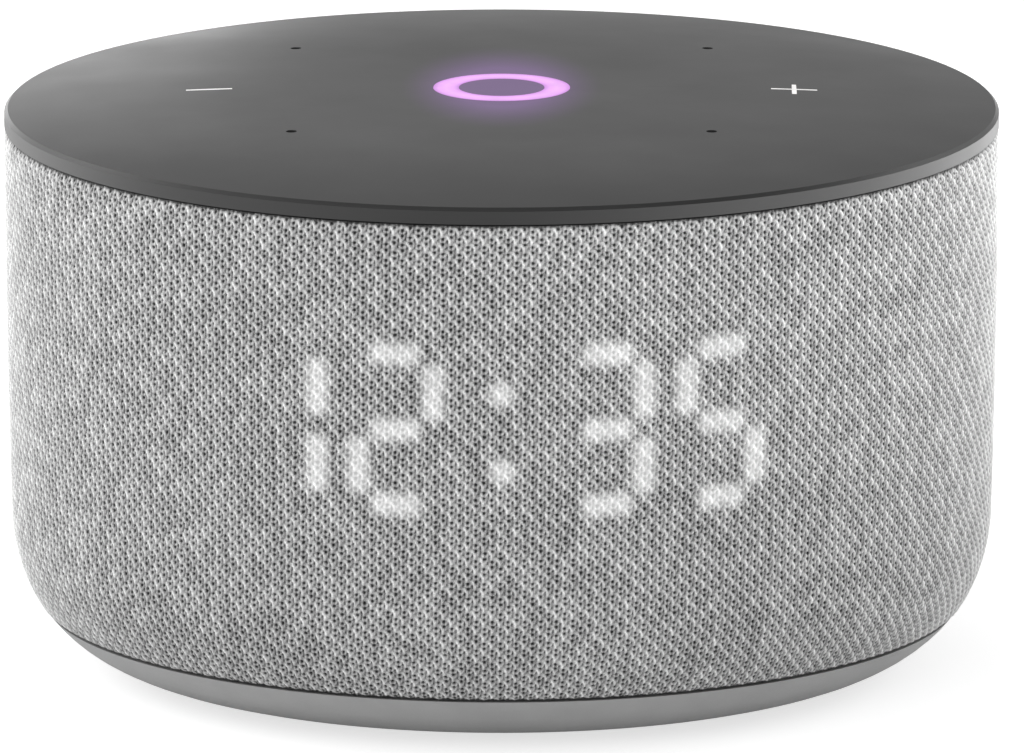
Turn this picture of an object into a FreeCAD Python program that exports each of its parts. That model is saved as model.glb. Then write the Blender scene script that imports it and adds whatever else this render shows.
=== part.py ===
import FreeCAD, Part
import math
import os

# Compact smart speaker: a round body in a fabric sleeve, with a domed touch panel on top,
# a clock display behind the fabric at the front and a port panel at the rear.
#
# Frame, in millimetres: the origin is the centre of the footprint on the table, +Z is up,
# the display faces -Y and the port panel faces +Y.

# ---------------------------------------------------------------- driving dimensions
CAP_RADIUS = 50.0            # top panel, the widest part of the body
CAP_EDGE_Z = 56.6            # upper edge of the top panel's side band
CAP_BAND = 1.68              # height of that side band
CAP_BEVEL = 0.35
DOME_RISE = 1.93             # how far the middle of the top stands above its edge
DOME_FLAT = 12.0             # radius of the flat middle of the top
DOME_POWER = 2.9             # how late the top falls away towards its edge
PANEL_WALL = 2.0
SEAM = 0.18                  # shadow gap between the top panel and the fabric

SKIN_RADIUS = 49.88          # fabric sleeve at its upper edge
BARREL_ARC = 1405.0          # the side leans in over this very large arc
BARREL_SWEEP = 0.02805       # radians of that arc, down to the shoulder of the foot
SHOULDER_ARC = 18.3          # first, gentler arc of the foot
SHOULDER_SWEEP = 0.3483
FOOT_ARC = 13.75             # last arc, which ends flat on the underside
BASE_SEAM_Z = 5.92           # where the fabric ends and the bare base starts

FABRIC = 0.75                # thickness of the knitted sleeve
SLIP = 0.05                  # air between neighbouring shells
GRILLE_WALL = 2.0
BASE_WALL = 2.0
FOOT_PAD_RADIUS = 33.0
FOOT_PAD_DEPTH = 1.4

MIC_OFFSET = 20.9            # microphone holes, from the middle along X and along Y
MIC_HOLE_RADIUS = 0.55
RING_OUTER = 6.9
RING_INNER = 4.3
MARK_OFFSET = 29.4           # middle of the minus and plus marks
MARK_LENGTH = 4.7
MARK_STROKE = 0.5

TOUCH_BOARD_Z = 51.2
TOUCH_BOARD_RADIUS = 42.0
MAIN_BOARD_Z = 43.4
MAIN_BOARD_RADIUS = 38.0
BOARD = 1.2                  # thickness of the round circuit boards
THIN_BOARD = 0.8

BOX_RADIUS = 33.0            # sealed speaker box
BOX_FLOOR_Z = 12.0
BOX_SPLIT_Z = 36.0
BOX_TOP_Z = 40.5
BOX_WALL = 2.0
BOX_FLAT_X = 29.0            # flats that carry the passive radiators
RADIATOR_Z = 25.0

DRIVER_RADIUS = 22.0
DRIVER_FLANGE_Z = 10.6
DRIVER_FLANGE = 1.4

DISPLAY_BACK_Y = -35.0       # rear face of the display board
DISPLAY_LOW_Z = 23.5
DISPLAY_HIGH_Z = 45.5
DISPLAY_HALF_WIDTH = 29.0
DIGIT_LOW_Z = 25.4
DIGIT_HIGH_Z = 42.7
SEGMENT = 2.2                # width of a display segment
DIGIT_CENTRES = (-21.8, -10.4, 10.4, 21.8)
DIGIT_WIDTH = 9.6
COLON_HEIGHTS = (30.0, 37.7)

BEZEL_Z = 20.6               # middle of the rear port panel
BEZEL_WIDTH = 29.0
BEZEL_HEIGHT = 10.4
BEZEL_PROUD = 0.1
PORT_X = -5.0                # middle of the USB-C port
PORT_SHELL_WIDTH = 8.94
PORT_SHELL_HEIGHT = 3.26
PLUG_RECESS_WIDTH = 13.0
PLUG_RECESS_HEIGHT = 7.4
PLUG_RECESS_FLOOR_Y = 44.6
SLIDER_X = 7.6               # middle of the mute slider in its rest place
SLIDER_TRAVEL = 2.0
SLIDER_WIDTH = 3.6
SLIDER_HEIGHT = 2.6
SLIDER_GAP = 0.3

FAR = 60.0                   # safely outside the body
BITE = 0.1                   # overlap that joins two shapes into one solid

UP = FreeCAD.Vector(0, 0, 1)
OUT_X = FreeCAD.Vector(1, 0, 0)


# ---------------------------------------------------------------- shape helpers
def point(x, y, z):
    return FreeCAD.Vector(x, y, z)


def disc(radius, low_z, high_z, x=0.0, y=0.0):
    """An upright solid cylinder."""
    return Part.makeCylinder(radius, high_z - low_z, point(x, y, low_z), UP)


def tube(outer, inner, low_z, high_z, x=0.0, y=0.0):
    """An upright hollow cylinder."""
    return disc(outer, low_z, high_z, x, y).cut(disc(inner, low_z, high_z, x, y))


def block(x_range, y_range, z_range):
    """A plain box between two values on each axis."""
    size = [high - low for low, high in (x_range, y_range, z_range)]
    return Part.makeBox(*size, point(x_range[0], y_range[0], z_range[0]))


def centred(half, middle=0.0):
    return (middle - half, middle + half)


def rounded_block_y(width, height, low_y, high_y, x, z, corner):
    """A rounded rectangle in the XZ plane, made into a solid along Y."""
    solid = block(centred(width / 2, x), (low_y, high_y), centred(height / 2, z))
    upright_edges = [
        edge for edge in solid.Edges
        if abs(edge.Vertexes[0].Point.x - edge.Vertexes[1].Point.x) < 1e-6
        and abs(edge.Vertexes[0].Point.z - edge.Vertexes[1].Point.z) < 1e-6
    ]
    return solid.makeFillet(corner, upright_edges)


def turned(edges):
    """The solid made by turning a closed outline in the XZ plane about the Z axis."""
    wire = Part.Wire(Part.__sortEdges__(edges))
    return Part.Face(wire).revolve(point(0, 0, 0), UP, 360)


def turned_polygon(corners):
    """The same, from (radius, height) corners."""
    points = [point(radius, 0, height) for radius, height in corners]
    return turned(Part.makePolygon(points + points[:1]).Edges)


def line(start, end):
    return Part.makeLine(start, end)


def group(solids):
    """Separate solids that share one node."""
    return Part.makeCompound(solids)


def bearings(count, first=0.0):
    """Evenly spaced directions all round, in degrees."""
    return [first + index * 360.0 / count for index in range(count)]


def on_circle(radius, directions):
    """Points on a circle, as (x, y), in the given directions."""
    angles = [math.radians(degrees) for degrees in directions]
    return [(radius * math.cos(angle), radius * math.sin(angle)) for angle in angles]


def spun(shape, degrees):
    turned_copy = shape.copy()
    turned_copy.rotate(point(0, 0, 0), UP, degrees)
    return turned_copy


def mirrored_x(shape):
    return shape.mirror(point(0, 0, 0), OUT_X)


# ---------------------------------------------------------------- outer curve of the body
# The outline is three arcs, each tangent to the next. An inset moves them all inwards.
PANEL_LOW_Z = CAP_EDGE_Z - CAP_BAND
SKIN_TOP_Z = PANEL_LOW_Z - SEAM
FOOT_START = BARREL_SWEEP + SHOULDER_SWEEP
ARCS = ((BARREL_ARC, 0.0, BARREL_SWEEP),
        (SHOULDER_ARC, BARREL_SWEEP, FOOT_START),
        (FOOT_ARC, FOOT_START, math.pi / 2))


def arc_centres():
    """Radius and height of the middle of each arc."""
    centres = [(SKIN_RADIUS - BARREL_ARC, PANEL_LOW_Z)]
    for (wide, _, meet), (tight, _, _) in zip(ARCS, ARCS[1:]):
        radius, height = centres[-1]
        step = wide - tight
        centres.append((radius + step * math.cos(meet), height - step * math.sin(meet)))
    return centres


CENTRES = arc_centres()
UNDERSIDE_Z = CENTRES[-1][1] - FOOT_ARC


def skin_point(arc, angle, inset=0.0):
    """The point of one arc at an angle below the horizontal."""
    radius, height = CENTRES[arc]
    reach = ARCS[arc][0] - inset
    return point(radius + reach * math.cos(angle), 0, height - reach * math.sin(angle))


def angle_at(arc, height, inset=0.0):
    reach = ARCS[arc][0] - inset
    return math.asin((CENTRES[arc][1] - height) / reach)


def skin_radius(height, inset=0.0):
    """Radius of the outer curve, moved inwards by the inset, at a height."""
    for arc, (_, _, end) in enumerate(ARCS):
        if skin_point(arc, end, inset).z <= height:
            return skin_point(arc, angle_at(arc, height, inset), inset).x
    return skin_point(len(ARCS) - 1, math.pi / 2, inset).x


def skin_edges(low_z, high_z, inset=0.0):
    """Arcs of the outer curve from a high to a low height."""
    edges = []
    for arc, (_, start, end) in enumerate(ARCS):
        arc_top = min(high_z, skin_point(arc, start, inset).z)
        arc_low = max(low_z, skin_point(arc, end, inset).z)
        if arc_top - arc_low < 1e-6:
            continue
        first = angle_at(arc, arc_top, inset)
        last = angle_at(arc, arc_low, inset) if arc_low > skin_point(arc, end, inset).z else end
        ends = [skin_point(arc, angle, inset) for angle in (first, (first + last) / 2, last)]
        edges.append(Part.Arc(*ends).toShape())
    return edges


def edge_ends(edges):
    """First and last point of a run of edges that goes downwards."""
    heights = [vertex.Point for edge in edges for vertex in edge.Vertexes]
    return max(heights, key=lambda p: p.z), min(heights, key=lambda p: p.z)


def shell(low_z, high_z, outer_inset, inner_inset):
    """A turned wall that follows the outer curve between two insets and two heights."""
    outer = skin_edges(low_z, high_z, outer_inset)
    inner = skin_edges(low_z, high_z, inner_inset)
    outer_top, outer_low = edge_ends(outer)
    inner_top, inner_low = edge_ends(inner)
    return turned(outer + inner + [line(outer_top, inner_top), line(outer_low, inner_low)])


def filled_skin(low_z, high_z, inset):
    """The whole body inside the outer curve, between two heights."""
    outer = skin_edges(low_z, high_z, inset)
    top, low = edge_ends(outer)
    axis_top = point(0, 0, top.z)
    axis_low = point(0, 0, low.z)
    return turned(outer + [line(top, axis_top), line(axis_top, axis_low), line(axis_low, low)])


# ---------------------------------------------------------------- top panel
DOME_EDGE = CAP_RADIUS - CAP_BEVEL
DOME_STATIONS = (0.25, 0.5, 0.75, 0.9, 1.0)


def dome_height(radius):
    """The top is flat in the middle and falls away faster and faster towards its edge."""
    past_flat = max(0.0, radius - DOME_FLAT) / (DOME_EDGE - DOME_FLAT)
    return CAP_EDGE_Z + DOME_RISE * (1 - past_flat ** DOME_POWER)


def dome_curve(drop, reach):
    """The dome's section outwards from its flat middle, lowered by the drop."""
    radii = [DOME_FLAT] + [DOME_FLAT + (reach - DOME_FLAT) * share for share in DOME_STATIONS]
    points = [point(radius, 0, dome_height(radius) - drop) for radius in radii]
    past_flat = (reach - DOME_FLAT) / (DOME_EDGE - DOME_FLAT)
    end_slope = DOME_RISE * DOME_POWER * past_flat ** (DOME_POWER - 1) / (DOME_EDGE - DOME_FLAT)
    curve = Part.BSplineCurve()
    curve.interpolate(Points=points, InitialTangent=point(1, 0, 0),
                      FinalTangent=point(1, 0, -end_slope))
    return curve.toShape(), points[0], points[-1]


def under_dome(drop, floor_z, reach=DOME_EDGE):
    """Everything below the lowered dome, down to a flat floor."""
    curve, flat_end, rim = dome_curve(drop, reach)
    axis_top = point(0, 0, flat_end.z)
    axis_low = point(0, 0, floor_z)
    rim_low = point(rim.x, 0, floor_z)
    return turned([line(axis_top, flat_end), curve, line(rim, rim_low), line(rim_low, axis_low),
                   line(axis_low, axis_top)])


SKIRT_OUTER = 47.0
SKIRT_WALL = 1.4
SKIRT_LOW_Z = 52.0
INSERT_CLEARANCE = 0.03
RING_BRIDGE_WIDTH = 2.4
RING_BRIDGE_HEIGHT = 0.9
INSERT_LOW_Z = 55.4          # lower end of the clear inserts


def ring_bridges():
    """Three webs that hold the middle of the panel inside the light ring."""
    low = dome_height(0) - PANEL_WALL
    web = block((0, RING_OUTER + 1), centred(RING_BRIDGE_WIDTH / 2), (low, low + RING_BRIDGE_HEIGHT))
    return group([spun(web, degrees) for degrees in bearings(3, 90.0)])


def ring_blank(clearance):
    outer = RING_OUTER - clearance
    inner = RING_INNER + clearance
    return tube(outer, inner, INSERT_LOW_Z, CAP_EDGE_Z + DOME_RISE)


def mark_blank(sign, clearance, upright):
    """One bar of a mark, through the panel."""
    along = MARK_LENGTH / 2 - clearance
    across = MARK_STROKE / 2 - clearance
    half_x, half_y = (across, along) if upright else (along, across)
    middle = sign * MARK_OFFSET
    return block(centred(half_x, middle), centred(half_y), (INSERT_LOW_Z - 2, CAP_EDGE_Z + DOME_RISE))


def plus_blank(clearance):
    return mark_blank(1, clearance, False).fuse(mark_blank(1, clearance, True)).removeSplitter()


def mic_places():
    return [(x, y) for x in (-MIC_OFFSET, MIC_OFFSET) for y in (-MIC_OFFSET, MIC_OFFSET)]


def top_panel():
    """Domed cap with a side band, a thinner roof and a skirt that clips into the body."""
    band = disc(CAP_RADIUS, PANEL_LOW_Z, CAP_EDGE_Z)
    bevel_edges = [edge for edge in band.Edges if abs(edge.CenterOfMass.z - CAP_EDGE_Z) < 1e-6
                   and edge.Length > CAP_RADIUS]
    band = band.makeChamfer(CAP_BEVEL, bevel_edges)
    body = band.fuse(under_dome(0.0, CAP_EDGE_Z - CAP_BEVEL))
    hollow = under_dome(PANEL_WALL, PANEL_LOW_Z - 1, SKIRT_OUTER - SKIRT_WALL)
    skirt = tube(SKIRT_OUTER, SKIRT_OUTER - SKIRT_WALL, SKIRT_LOW_Z, PANEL_LOW_Z)
    panel = body.cut(hollow).fuse(skirt)
    ring_slot = ring_blank(0.0).cut(ring_bridges())
    openings = [ring_slot, mark_blank(-1, 0.0, False), plus_blank(0.0)]
    openings += [disc(MIC_HOLE_RADIUS, PANEL_LOW_Z, CAP_EDGE_Z + DOME_RISE, x, y) for x, y in mic_places()]
    return panel.cut(group(openings)).removeSplitter()


def light_ring():
    """Clear ring moulded into the panel, notched round the panel's three webs."""
    return ring_blank(INSERT_CLEARANCE).cut(ring_bridges()).common(under_dome(0.0, SKIRT_LOW_Z))


def minus_mark():
    return mark_blank(-1, INSERT_CLEARANCE, False).common(under_dome(0.0, SKIRT_LOW_Z))


def plus_mark():
    return plus_blank(INSERT_CLEARANCE).common(under_dome(0.0, SKIRT_LOW_Z))


# ---------------------------------------------------------------- sleeve, grille body and base
GRILLE_OUTER_INSET = FABRIC + SLIP
GRILLE_INNER_INSET = GRILLE_OUTER_INSET + GRILLE_WALL
GRILLE_TOP_Z = 53.2
SLOT_WIDTH = 1.8
SLOT_ROWS = ((16.5, 27.5), (29.5, 40.5))
LOW_SLOT_ROW = (7.6, 12.4)
SLOT_COUNT = 44
FRONT_WINDOW_DEGREES = 48.0  # half of the stretch that the display takes
REAR_PANEL_DEGREES = 26.0
FRONT = 270.0                # direction of -Y


def bezel_blank(clearance, low_y, high_y):
    """The rounded outline of the port panel as a solid along Y."""
    width = BEZEL_WIDTH + 2 * clearance
    height = BEZEL_HEIGHT + 2 * clearance
    return rounded_block_y(width, height, low_y, high_y, 0.0, BEZEL_Z, 3.0 + clearance)


def fabric_sleeve():
    """Knitted sleeve, open at the top, at the base and round the port panel."""
    sleeve = shell(BASE_SEAM_Z, SKIN_TOP_Z, 0.0, FABRIC)
    return sleeve.cut(bezel_blank(SLIP, FAR / 2, FAR))


def slot(low_z, high_z):
    """One upright slot with round ends, cut outwards along +X."""
    start = 0.7 * CAP_RADIUS
    half = SLOT_WIDTH / 2
    body = block((start, FAR), centred(half), (low_z + half, high_z - half))
    ends = [Part.makeCylinder(half, FAR - start, point(start, 0, z), OUT_X)
            for z in (low_z + half, high_z - half)]
    return body.multiFuse(ends).removeSplitter()


def slot_field():
    """Sound slots all round, apart from the display and the port panel."""
    slots = []
    for degrees in bearings(SLOT_COUNT, FRONT):
        from_front = abs((degrees - FRONT + 180.0) % 360.0 - 180.0)
        if FRONT_WINDOW_DEGREES < from_front < 180.0 - REAR_PANEL_DEGREES:
            slots += [spun(slot(*row), degrees) for row in SLOT_ROWS]
        slots.append(spun(slot(*LOW_SLOT_ROW), degrees + 180.0 / SLOT_COUNT))
    return group(slots)


WINDOW_RIM = 1.0            # how far the display's film reaches behind the window's edge


def display_window(margin):
    half_width = DISPLAY_HALF_WIDTH + margin
    return block(centred(half_width), (-FAR, -FAR / 2), (DISPLAY_LOW_Z - margin, DISPLAY_HIGH_Z + margin))


HOOP_OUTER = 48.9
HOOP_INNER = 47.2
HOOP_LOW_Z = GRILLE_TOP_Z + SLIP
LEDGE_INNER = 39.5
LEDGE_HEIGHT = 1.6
GRILLE_SCREW_RADIUS = 27.5
CORNERS = bearings(4, 45.0)
BOSS_RADIUS = 2.8
SCREW_CORE = 1.25
BOSS_HIGH_Z = BOX_FLOOR_Z - 0.1


def base_screw_places():
    return on_circle(GRILLE_SCREW_RADIUS, CORNERS)


def grille_body():
    """Perforated cylinder under the fabric, with a ledge for the touch board and screw bosses."""
    wall = shell(BASE_SEAM_Z, GRILLE_TOP_Z, GRILLE_OUTER_INSET, GRILLE_INNER_INSET)
    ledge_low = TOUCH_BOARD_Z - LEDGE_HEIGHT
    ledge = tube(skin_radius(ledge_low, GRILLE_INNER_INSET - 0.5), LEDGE_INNER, ledge_low, TOUCH_BOARD_Z)
    arm = block((GRILLE_SCREW_RADIUS, CAP_RADIUS), centred(1.2), (BASE_SEAM_Z, BOSS_HIGH_Z))
    boss = disc(BOSS_RADIUS, BASE_SEAM_Z, BOSS_HIGH_Z, GRILLE_SCREW_RADIUS)
    keep_inside = filled_skin(BASE_SEAM_Z, GRILLE_TOP_Z, GRILLE_OUTER_INSET + 0.4)
    spoke = boss.fuse(arm).common(keep_inside)
    spokes = [spun(spoke, degrees) for degrees in CORNERS]
    body = wall.multiFuse([ledge] + spokes)
    cores = [disc(SCREW_CORE, BASE_SEAM_Z - 1, BOSS_HIGH_Z - 0.6, x, y)
             for x, y in base_screw_places()]
    rear_window = bezel_blank(0.3, FAR / 2, FAR)
    return body.cut(group(cores + [slot_field(), display_window(-WINDOW_RIM), rear_window]))


def fabric_hoop():
    """Stiff hoop that the sleeve's upper edge is folded over, clipped round the panel's skirt."""
    return tube(HOOP_OUTER, HOOP_INNER, HOOP_LOW_Z, SKIN_TOP_Z)


BASE_FLOOR_TOP = UNDERSIDE_Z + BASE_WALL + GRILLE_OUTER_INSET
BASE_SCREW_SEAT = UNDERSIDE_Z + 2.6
RIB_COUNT = 12
RIB_REACH = (24.0, 40.0)     # from the middle
RIB_HALF = 0.6
RIB_HEIGHT = 0.9
SCREW_POST = 3.6
PAD_EDGE = 0.45


def base_screw_seat(x, y):
    """Stepped hole for one base screw, open at the underside."""
    head = disc(2.9, UNDERSIDE_Z, BASE_SCREW_SEAT, x, y)
    shank = disc(1.7, UNDERSIDE_Z, BASE_SEAM_Z, x, y)
    return head.fuse(shank)


def base_cover():
    """Bare moulded dish that closes the body from below, with ribs and four screw posts."""
    dish = filled_skin(UNDERSIDE_Z, BASE_SEAM_Z - SLIP, 0.0)
    hollow = filled_skin(BASE_FLOOR_TOP, BASE_SEAM_Z, BASE_WALL + GRILLE_OUTER_INSET)
    cover = dish.cut(hollow)
    rib = block(RIB_REACH, centred(RIB_HALF), (BASE_FLOOR_TOP - BITE, BASE_FLOOR_TOP + RIB_HEIGHT))
    ribs = [spun(rib, degrees) for degrees in bearings(RIB_COUNT, 15.0)]
    posts = [disc(SCREW_POST, BASE_FLOOR_TOP - BITE, BASE_SEAM_Z - SLIP, x, y)
             for x, y in base_screw_places()]
    cover = cover.multiFuse(ribs + posts)
    pad_seat = disc(FOOT_PAD_RADIUS + 0.1, UNDERSIDE_Z - 1, FOOT_PAD_DEPTH)
    seats = [base_screw_seat(x, y) for x, y in base_screw_places()]
    return cover.cut(group([pad_seat] + seats)).removeSplitter()


def foot_pad():
    """Rubber disc with a rounded lower edge, set into the underside."""
    pad = disc(FOOT_PAD_RADIUS, 0.0, FOOT_PAD_DEPTH)
    lower = [edge for edge in pad.Edges if abs(edge.CenterOfMass.z) < 1e-6 and edge.Length > FOOT_PAD_RADIUS]
    return pad.makeFillet(PAD_EDGE, lower)


def screw(x, y, seat_z, head_radius, head_height, shank_radius, length, upwards=True):
    """A flat-headed screw with a round drive recess. Its head rests on the seat."""
    way = 1 if upwards else -1
    axis = point(0, 0, way)
    face = point(x, y, seat_z - way * head_height)
    shank = Part.makeCylinder(shank_radius, length, point(x, y, seat_z - way * BITE), axis)
    head = Part.makeCylinder(head_radius, head_height, face, axis)
    drive = Part.makeCylinder(head_radius * 0.4, head_height * 0.6, face, axis)
    return shank.fuse(head).cut(drive).removeSplitter()


def base_screws():
    places = base_screw_places()
    return group([screw(x, y, BASE_SCREW_SEAT, 2.6, 1.6, SCREW_CORE - 0.03, 7.6) for x, y in places])


# ---------------------------------------------------------------- rear port panel
def bezel_skin(inset):
    return filled_skin(BASE_SEAM_Z, SKIN_TOP_Z, inset)


FLANGE = 1.0
SHELF = 1.2
SLIDER_SLOT_WIDTH = SLIDER_WIDTH + SLIDER_TRAVEL + 2 * SLIDER_GAP
SLIDER_SLOT_HEIGHT = SLIDER_HEIGHT + 2 * SLIDER_GAP
SLIDER_SLOT_X = SLIDER_X + SLIDER_TRAVEL / 2
BEZEL_BACK_Y = 43.0
SLIDER_DISH_Y = 46.2


def port_bezel():
    """Curved panel with a plug recess, the port's mouth and the slot of the mute slider.

    A flange behind the grille body holds it, and a shelf behind it carries the port board.
    """
    body = bezel_blank(0.0, BEZEL_BACK_Y, FAR).common(bezel_skin(-BEZEL_PROUD))
    behind_grille = bezel_skin(GRILLE_INNER_INSET + SLIP).cut(bezel_skin(GRILLE_INNER_INSET + FLANGE))
    flange = bezel_blank(FLANGE, BEZEL_BACK_Y, FAR).common(behind_grille)
    shelf = block(centred(10.0), (36.0, BEZEL_BACK_Y + 0.4), (PORT_BOARD_Z - SHELF, PORT_BOARD_Z))
    body = body.multiFuse([flange, shelf])
    recess = rounded_block_y(PLUG_RECESS_WIDTH, PLUG_RECESS_HEIGHT, PLUG_RECESS_FLOOR_Y, FAR,
                             PORT_X, BEZEL_Z, 2.4)
    mouth = rounded_block_y(PORT_SHELL_WIDTH + 0.2, PORT_SHELL_HEIGHT + 0.2, FAR / 2, FAR,
                            PORT_X, BEZEL_Z, 1.65)
    dish = rounded_block_y(SLIDER_SLOT_WIDTH + 1.6, SLIDER_SLOT_HEIGHT + 1.6, SLIDER_DISH_Y, FAR,
                           SLIDER_SLOT_X, BEZEL_Z, 1.6)
    slider_slot = rounded_block_y(SLIDER_SLOT_WIDTH, SLIDER_SLOT_HEIGHT, FAR / 2, FAR,
                                  SLIDER_SLOT_X, BEZEL_Z, 0.6)
    return body.cut(recess).cut(mouth).cut(dish).cut(slider_slot).removeSplitter()


PORT_BOARD_Z = BEZEL_Z - PORT_SHELL_HEIGHT / 2 - THIN_BOARD
PORT_BOARD_TOP = PORT_BOARD_Z + THIN_BOARD
PORT_MOUTH_Y = PLUG_RECESS_FLOOR_Y + 0.1
PORT_DEPTH = 7.35
SHELL_SHEET = 0.3


def port_board():
    return block((-12.5, 13.5), (34.2, 42.6), (PORT_BOARD_Z, PORT_BOARD_TOP))


def usb_c_receptacle():
    """Pressed steel shell, open at its mouth, with a closed back."""
    back_y = PORT_MOUTH_Y - PORT_DEPTH
    outer = rounded_block_y(PORT_SHELL_WIDTH, PORT_SHELL_HEIGHT, back_y, PORT_MOUTH_Y, PORT_X, BEZEL_Z, 1.55)
    inner = rounded_block_y(PORT_SHELL_WIDTH - 2 * SHELL_SHEET, PORT_SHELL_HEIGHT - 2 * SHELL_SHEET,
                            back_y + SHELL_SHEET, PORT_MOUTH_Y + 1, PORT_X, BEZEL_Z, 1.25)
    return outer.cut(inner)


def usb_c_tongue():
    """Plastic tongue with its stepped root, inside the shell."""
    back_y = PORT_MOUTH_Y - PORT_DEPTH + SHELL_SHEET
    tongue = block(centred(3.3, PORT_X), (back_y, PORT_MOUTH_Y - 0.8), centred(0.35, BEZEL_Z))
    root = block(centred(3.4, PORT_X), (back_y, back_y + 1.6), centred(1.0, BEZEL_Z))
    return tongue.fuse(root).removeSplitter()


SWITCH_BODY_Y = (37.8, 40.6)
SWITCH_BODY_HEIGHT = 2.8
LEVER_HALF = 0.7
CAP_BACK_Y = 42.4
SLIDER_FACE_Y = 48.1


def mute_switch():
    """Slide switch on the port board, with a slot for its lever."""
    body_z = (PORT_BOARD_TOP, PORT_BOARD_TOP + SWITCH_BODY_HEIGHT)
    body = block(centred(4.2, SLIDER_SLOT_X), SWITCH_BODY_Y, body_z)
    half = LEVER_HALF + SLIDER_TRAVEL / 2 + SLIDER_GAP
    middle_z = PORT_BOARD_TOP + SWITCH_BODY_HEIGHT / 2
    lever_slot = block(centred(half, SLIDER_SLOT_X), (SWITCH_BODY_Y[1] - 1.4, SWITCH_BODY_Y[1] + 1),
                       centred(LEVER_HALF + SLIDER_GAP, middle_z))
    return body.cut(lever_slot)


def mute_switch_lever():
    """Lever of the switch. It fills the pocket behind the slider."""
    middle_z = PORT_BOARD_TOP + SWITCH_BODY_HEIGHT / 2
    return block(centred(LEVER_HALF, SLIDER_X), (SWITCH_BODY_Y[1] - 1.0, CAP_BACK_Y + 1.2),
                 centred(LEVER_HALF, middle_z))


def mute_slider():
    """Slider that shows in the slot, with three finger ridges and a pocket for the lever."""
    middle_z = PORT_BOARD_TOP + SWITCH_BODY_HEIGHT / 2
    stem = rounded_block_y(SLIDER_WIDTH, SLIDER_HEIGHT, CAP_BACK_Y, SLIDER_FACE_Y, SLIDER_X, BEZEL_Z, 0.5)
    grooves = [block(centred(0.2, SLIDER_X + step), (SLIDER_FACE_Y - 0.35, SLIDER_FACE_Y + 1),
                     centred(SLIDER_HEIGHT, BEZEL_Z)) for step in (-0.9, 0.0, 0.9)]
    pocket = block(centred(LEVER_HALF, SLIDER_X), (CAP_BACK_Y - 1, CAP_BACK_Y + 1.2),
                   centred(LEVER_HALF, middle_z))
    return stem.cut(group(grooves)).cut(pocket)


# ---------------------------------------------------------------- touch board and lights
TOUCH_BOARD_TOP = TOUCH_BOARD_Z + BOARD
LED_HEIGHT = 0.6
LIGHT_HOUSING_OUTER = 8.6
LIGHT_HOUSING_INNER = 2.8
RING_LED_COUNT = 12
RING_MIDDLE = (RING_OUTER + RING_INNER) / 2


def touch_board():
    """Round board under the panel, with a sound hole under each microphone hole."""
    board = disc(TOUCH_BOARD_RADIUS, TOUCH_BOARD_Z, TOUCH_BOARD_TOP)
    holes = [disc(MIC_HOLE_RADIUS, TOUCH_BOARD_Z - 1, TOUCH_BOARD_TOP + 1, x, y) for x, y in mic_places()]
    return board.cut(group(holes))


def mic_capsules():
    """Four microphones soldered under the touch board."""
    low_z = TOUCH_BOARD_Z - 1.0
    return group([block(centred(1.75, x), centred(1.35, y), (low_z, TOUCH_BOARD_Z)) for x, y in mic_places()])


def mic_gaskets():
    """Four soft sleeves that lead the sound from the panel's holes to the board."""
    outer = 1.9
    roof = dome_height(math.hypot(MIC_OFFSET, MIC_OFFSET) + outer) - PANEL_WALL - SLIP
    return group([tube(outer, 0.7, TOUCH_BOARD_TOP, roof, x, y) for x, y in mic_places()])


def ring_leds():
    """Twelve small LEDs in a circle below the light ring."""
    led = block(centred(0.8, RING_MIDDLE), centred(0.8), (TOUCH_BOARD_TOP, TOUCH_BOARD_TOP + LED_HEIGHT))
    return group([spun(led, degrees) for degrees in bearings(RING_LED_COUNT)])


def ring_light_housing():
    """White cup that keeps the LEDs' light in the ring's channel."""
    roof = dome_height(LIGHT_HOUSING_OUTER) - PANEL_WALL - SLIP
    cup = tube(LIGHT_HOUSING_OUTER, LIGHT_HOUSING_INNER, TOUCH_BOARD_TOP, roof)
    return cup.cut(tube(RING_OUTER + SLIP, RING_INNER - SLIP, TOUCH_BOARD_TOP, roof))


def mark_leds():
    """One LED under each mark."""
    return group([block(centred(1.0, x), centred(0.6), (TOUCH_BOARD_TOP, TOUCH_BOARD_TOP + LED_HEIGHT))
                  for x in (-MARK_OFFSET, MARK_OFFSET)])


# ---------------------------------------------------------------- main board
MAIN_BOARD_TOP = MAIN_BOARD_Z + BOARD
BOARD_FLAT_Y = -32.6
BOARD_SCREW_RADIUS = 25.0
POST_RADIUS = 2.4
SHIELD_X = (-14.0, 10.0)
SHIELD_Y = (-12.0, 10.0)
SHIELD_HEIGHT = 2.4
SHIELD_SHEET = 0.3
FIN_COUNT = 8


def main_board():
    """Round board with a flat side behind the display and four screw holes."""
    board = disc(MAIN_BOARD_RADIUS, MAIN_BOARD_Z, MAIN_BOARD_TOP)
    clear_side = block(centred(FAR), (-FAR, BOARD_FLAT_Y), (MAIN_BOARD_Z - 1, MAIN_BOARD_TOP + 1))
    holes = [disc(1.5, MAIN_BOARD_Z - 1, MAIN_BOARD_TOP + 1, x, y)
             for x, y in on_circle(BOARD_SCREW_RADIUS, CORNERS)]
    return board.cut(group([clear_side] + holes))


def processor_shield():
    """Thin metal can over the processor and memory."""
    outer = block(SHIELD_X, SHIELD_Y, (MAIN_BOARD_TOP, MAIN_BOARD_TOP + SHIELD_HEIGHT))
    inner_x, inner_y = [(low + SHIELD_SHEET, high - SHIELD_SHEET) for low, high in (SHIELD_X, SHIELD_Y)]
    inner = block(inner_x, inner_y, (MAIN_BOARD_TOP, MAIN_BOARD_TOP + SHIELD_HEIGHT - SHIELD_SHEET))
    return outer.cut(inner)


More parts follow.
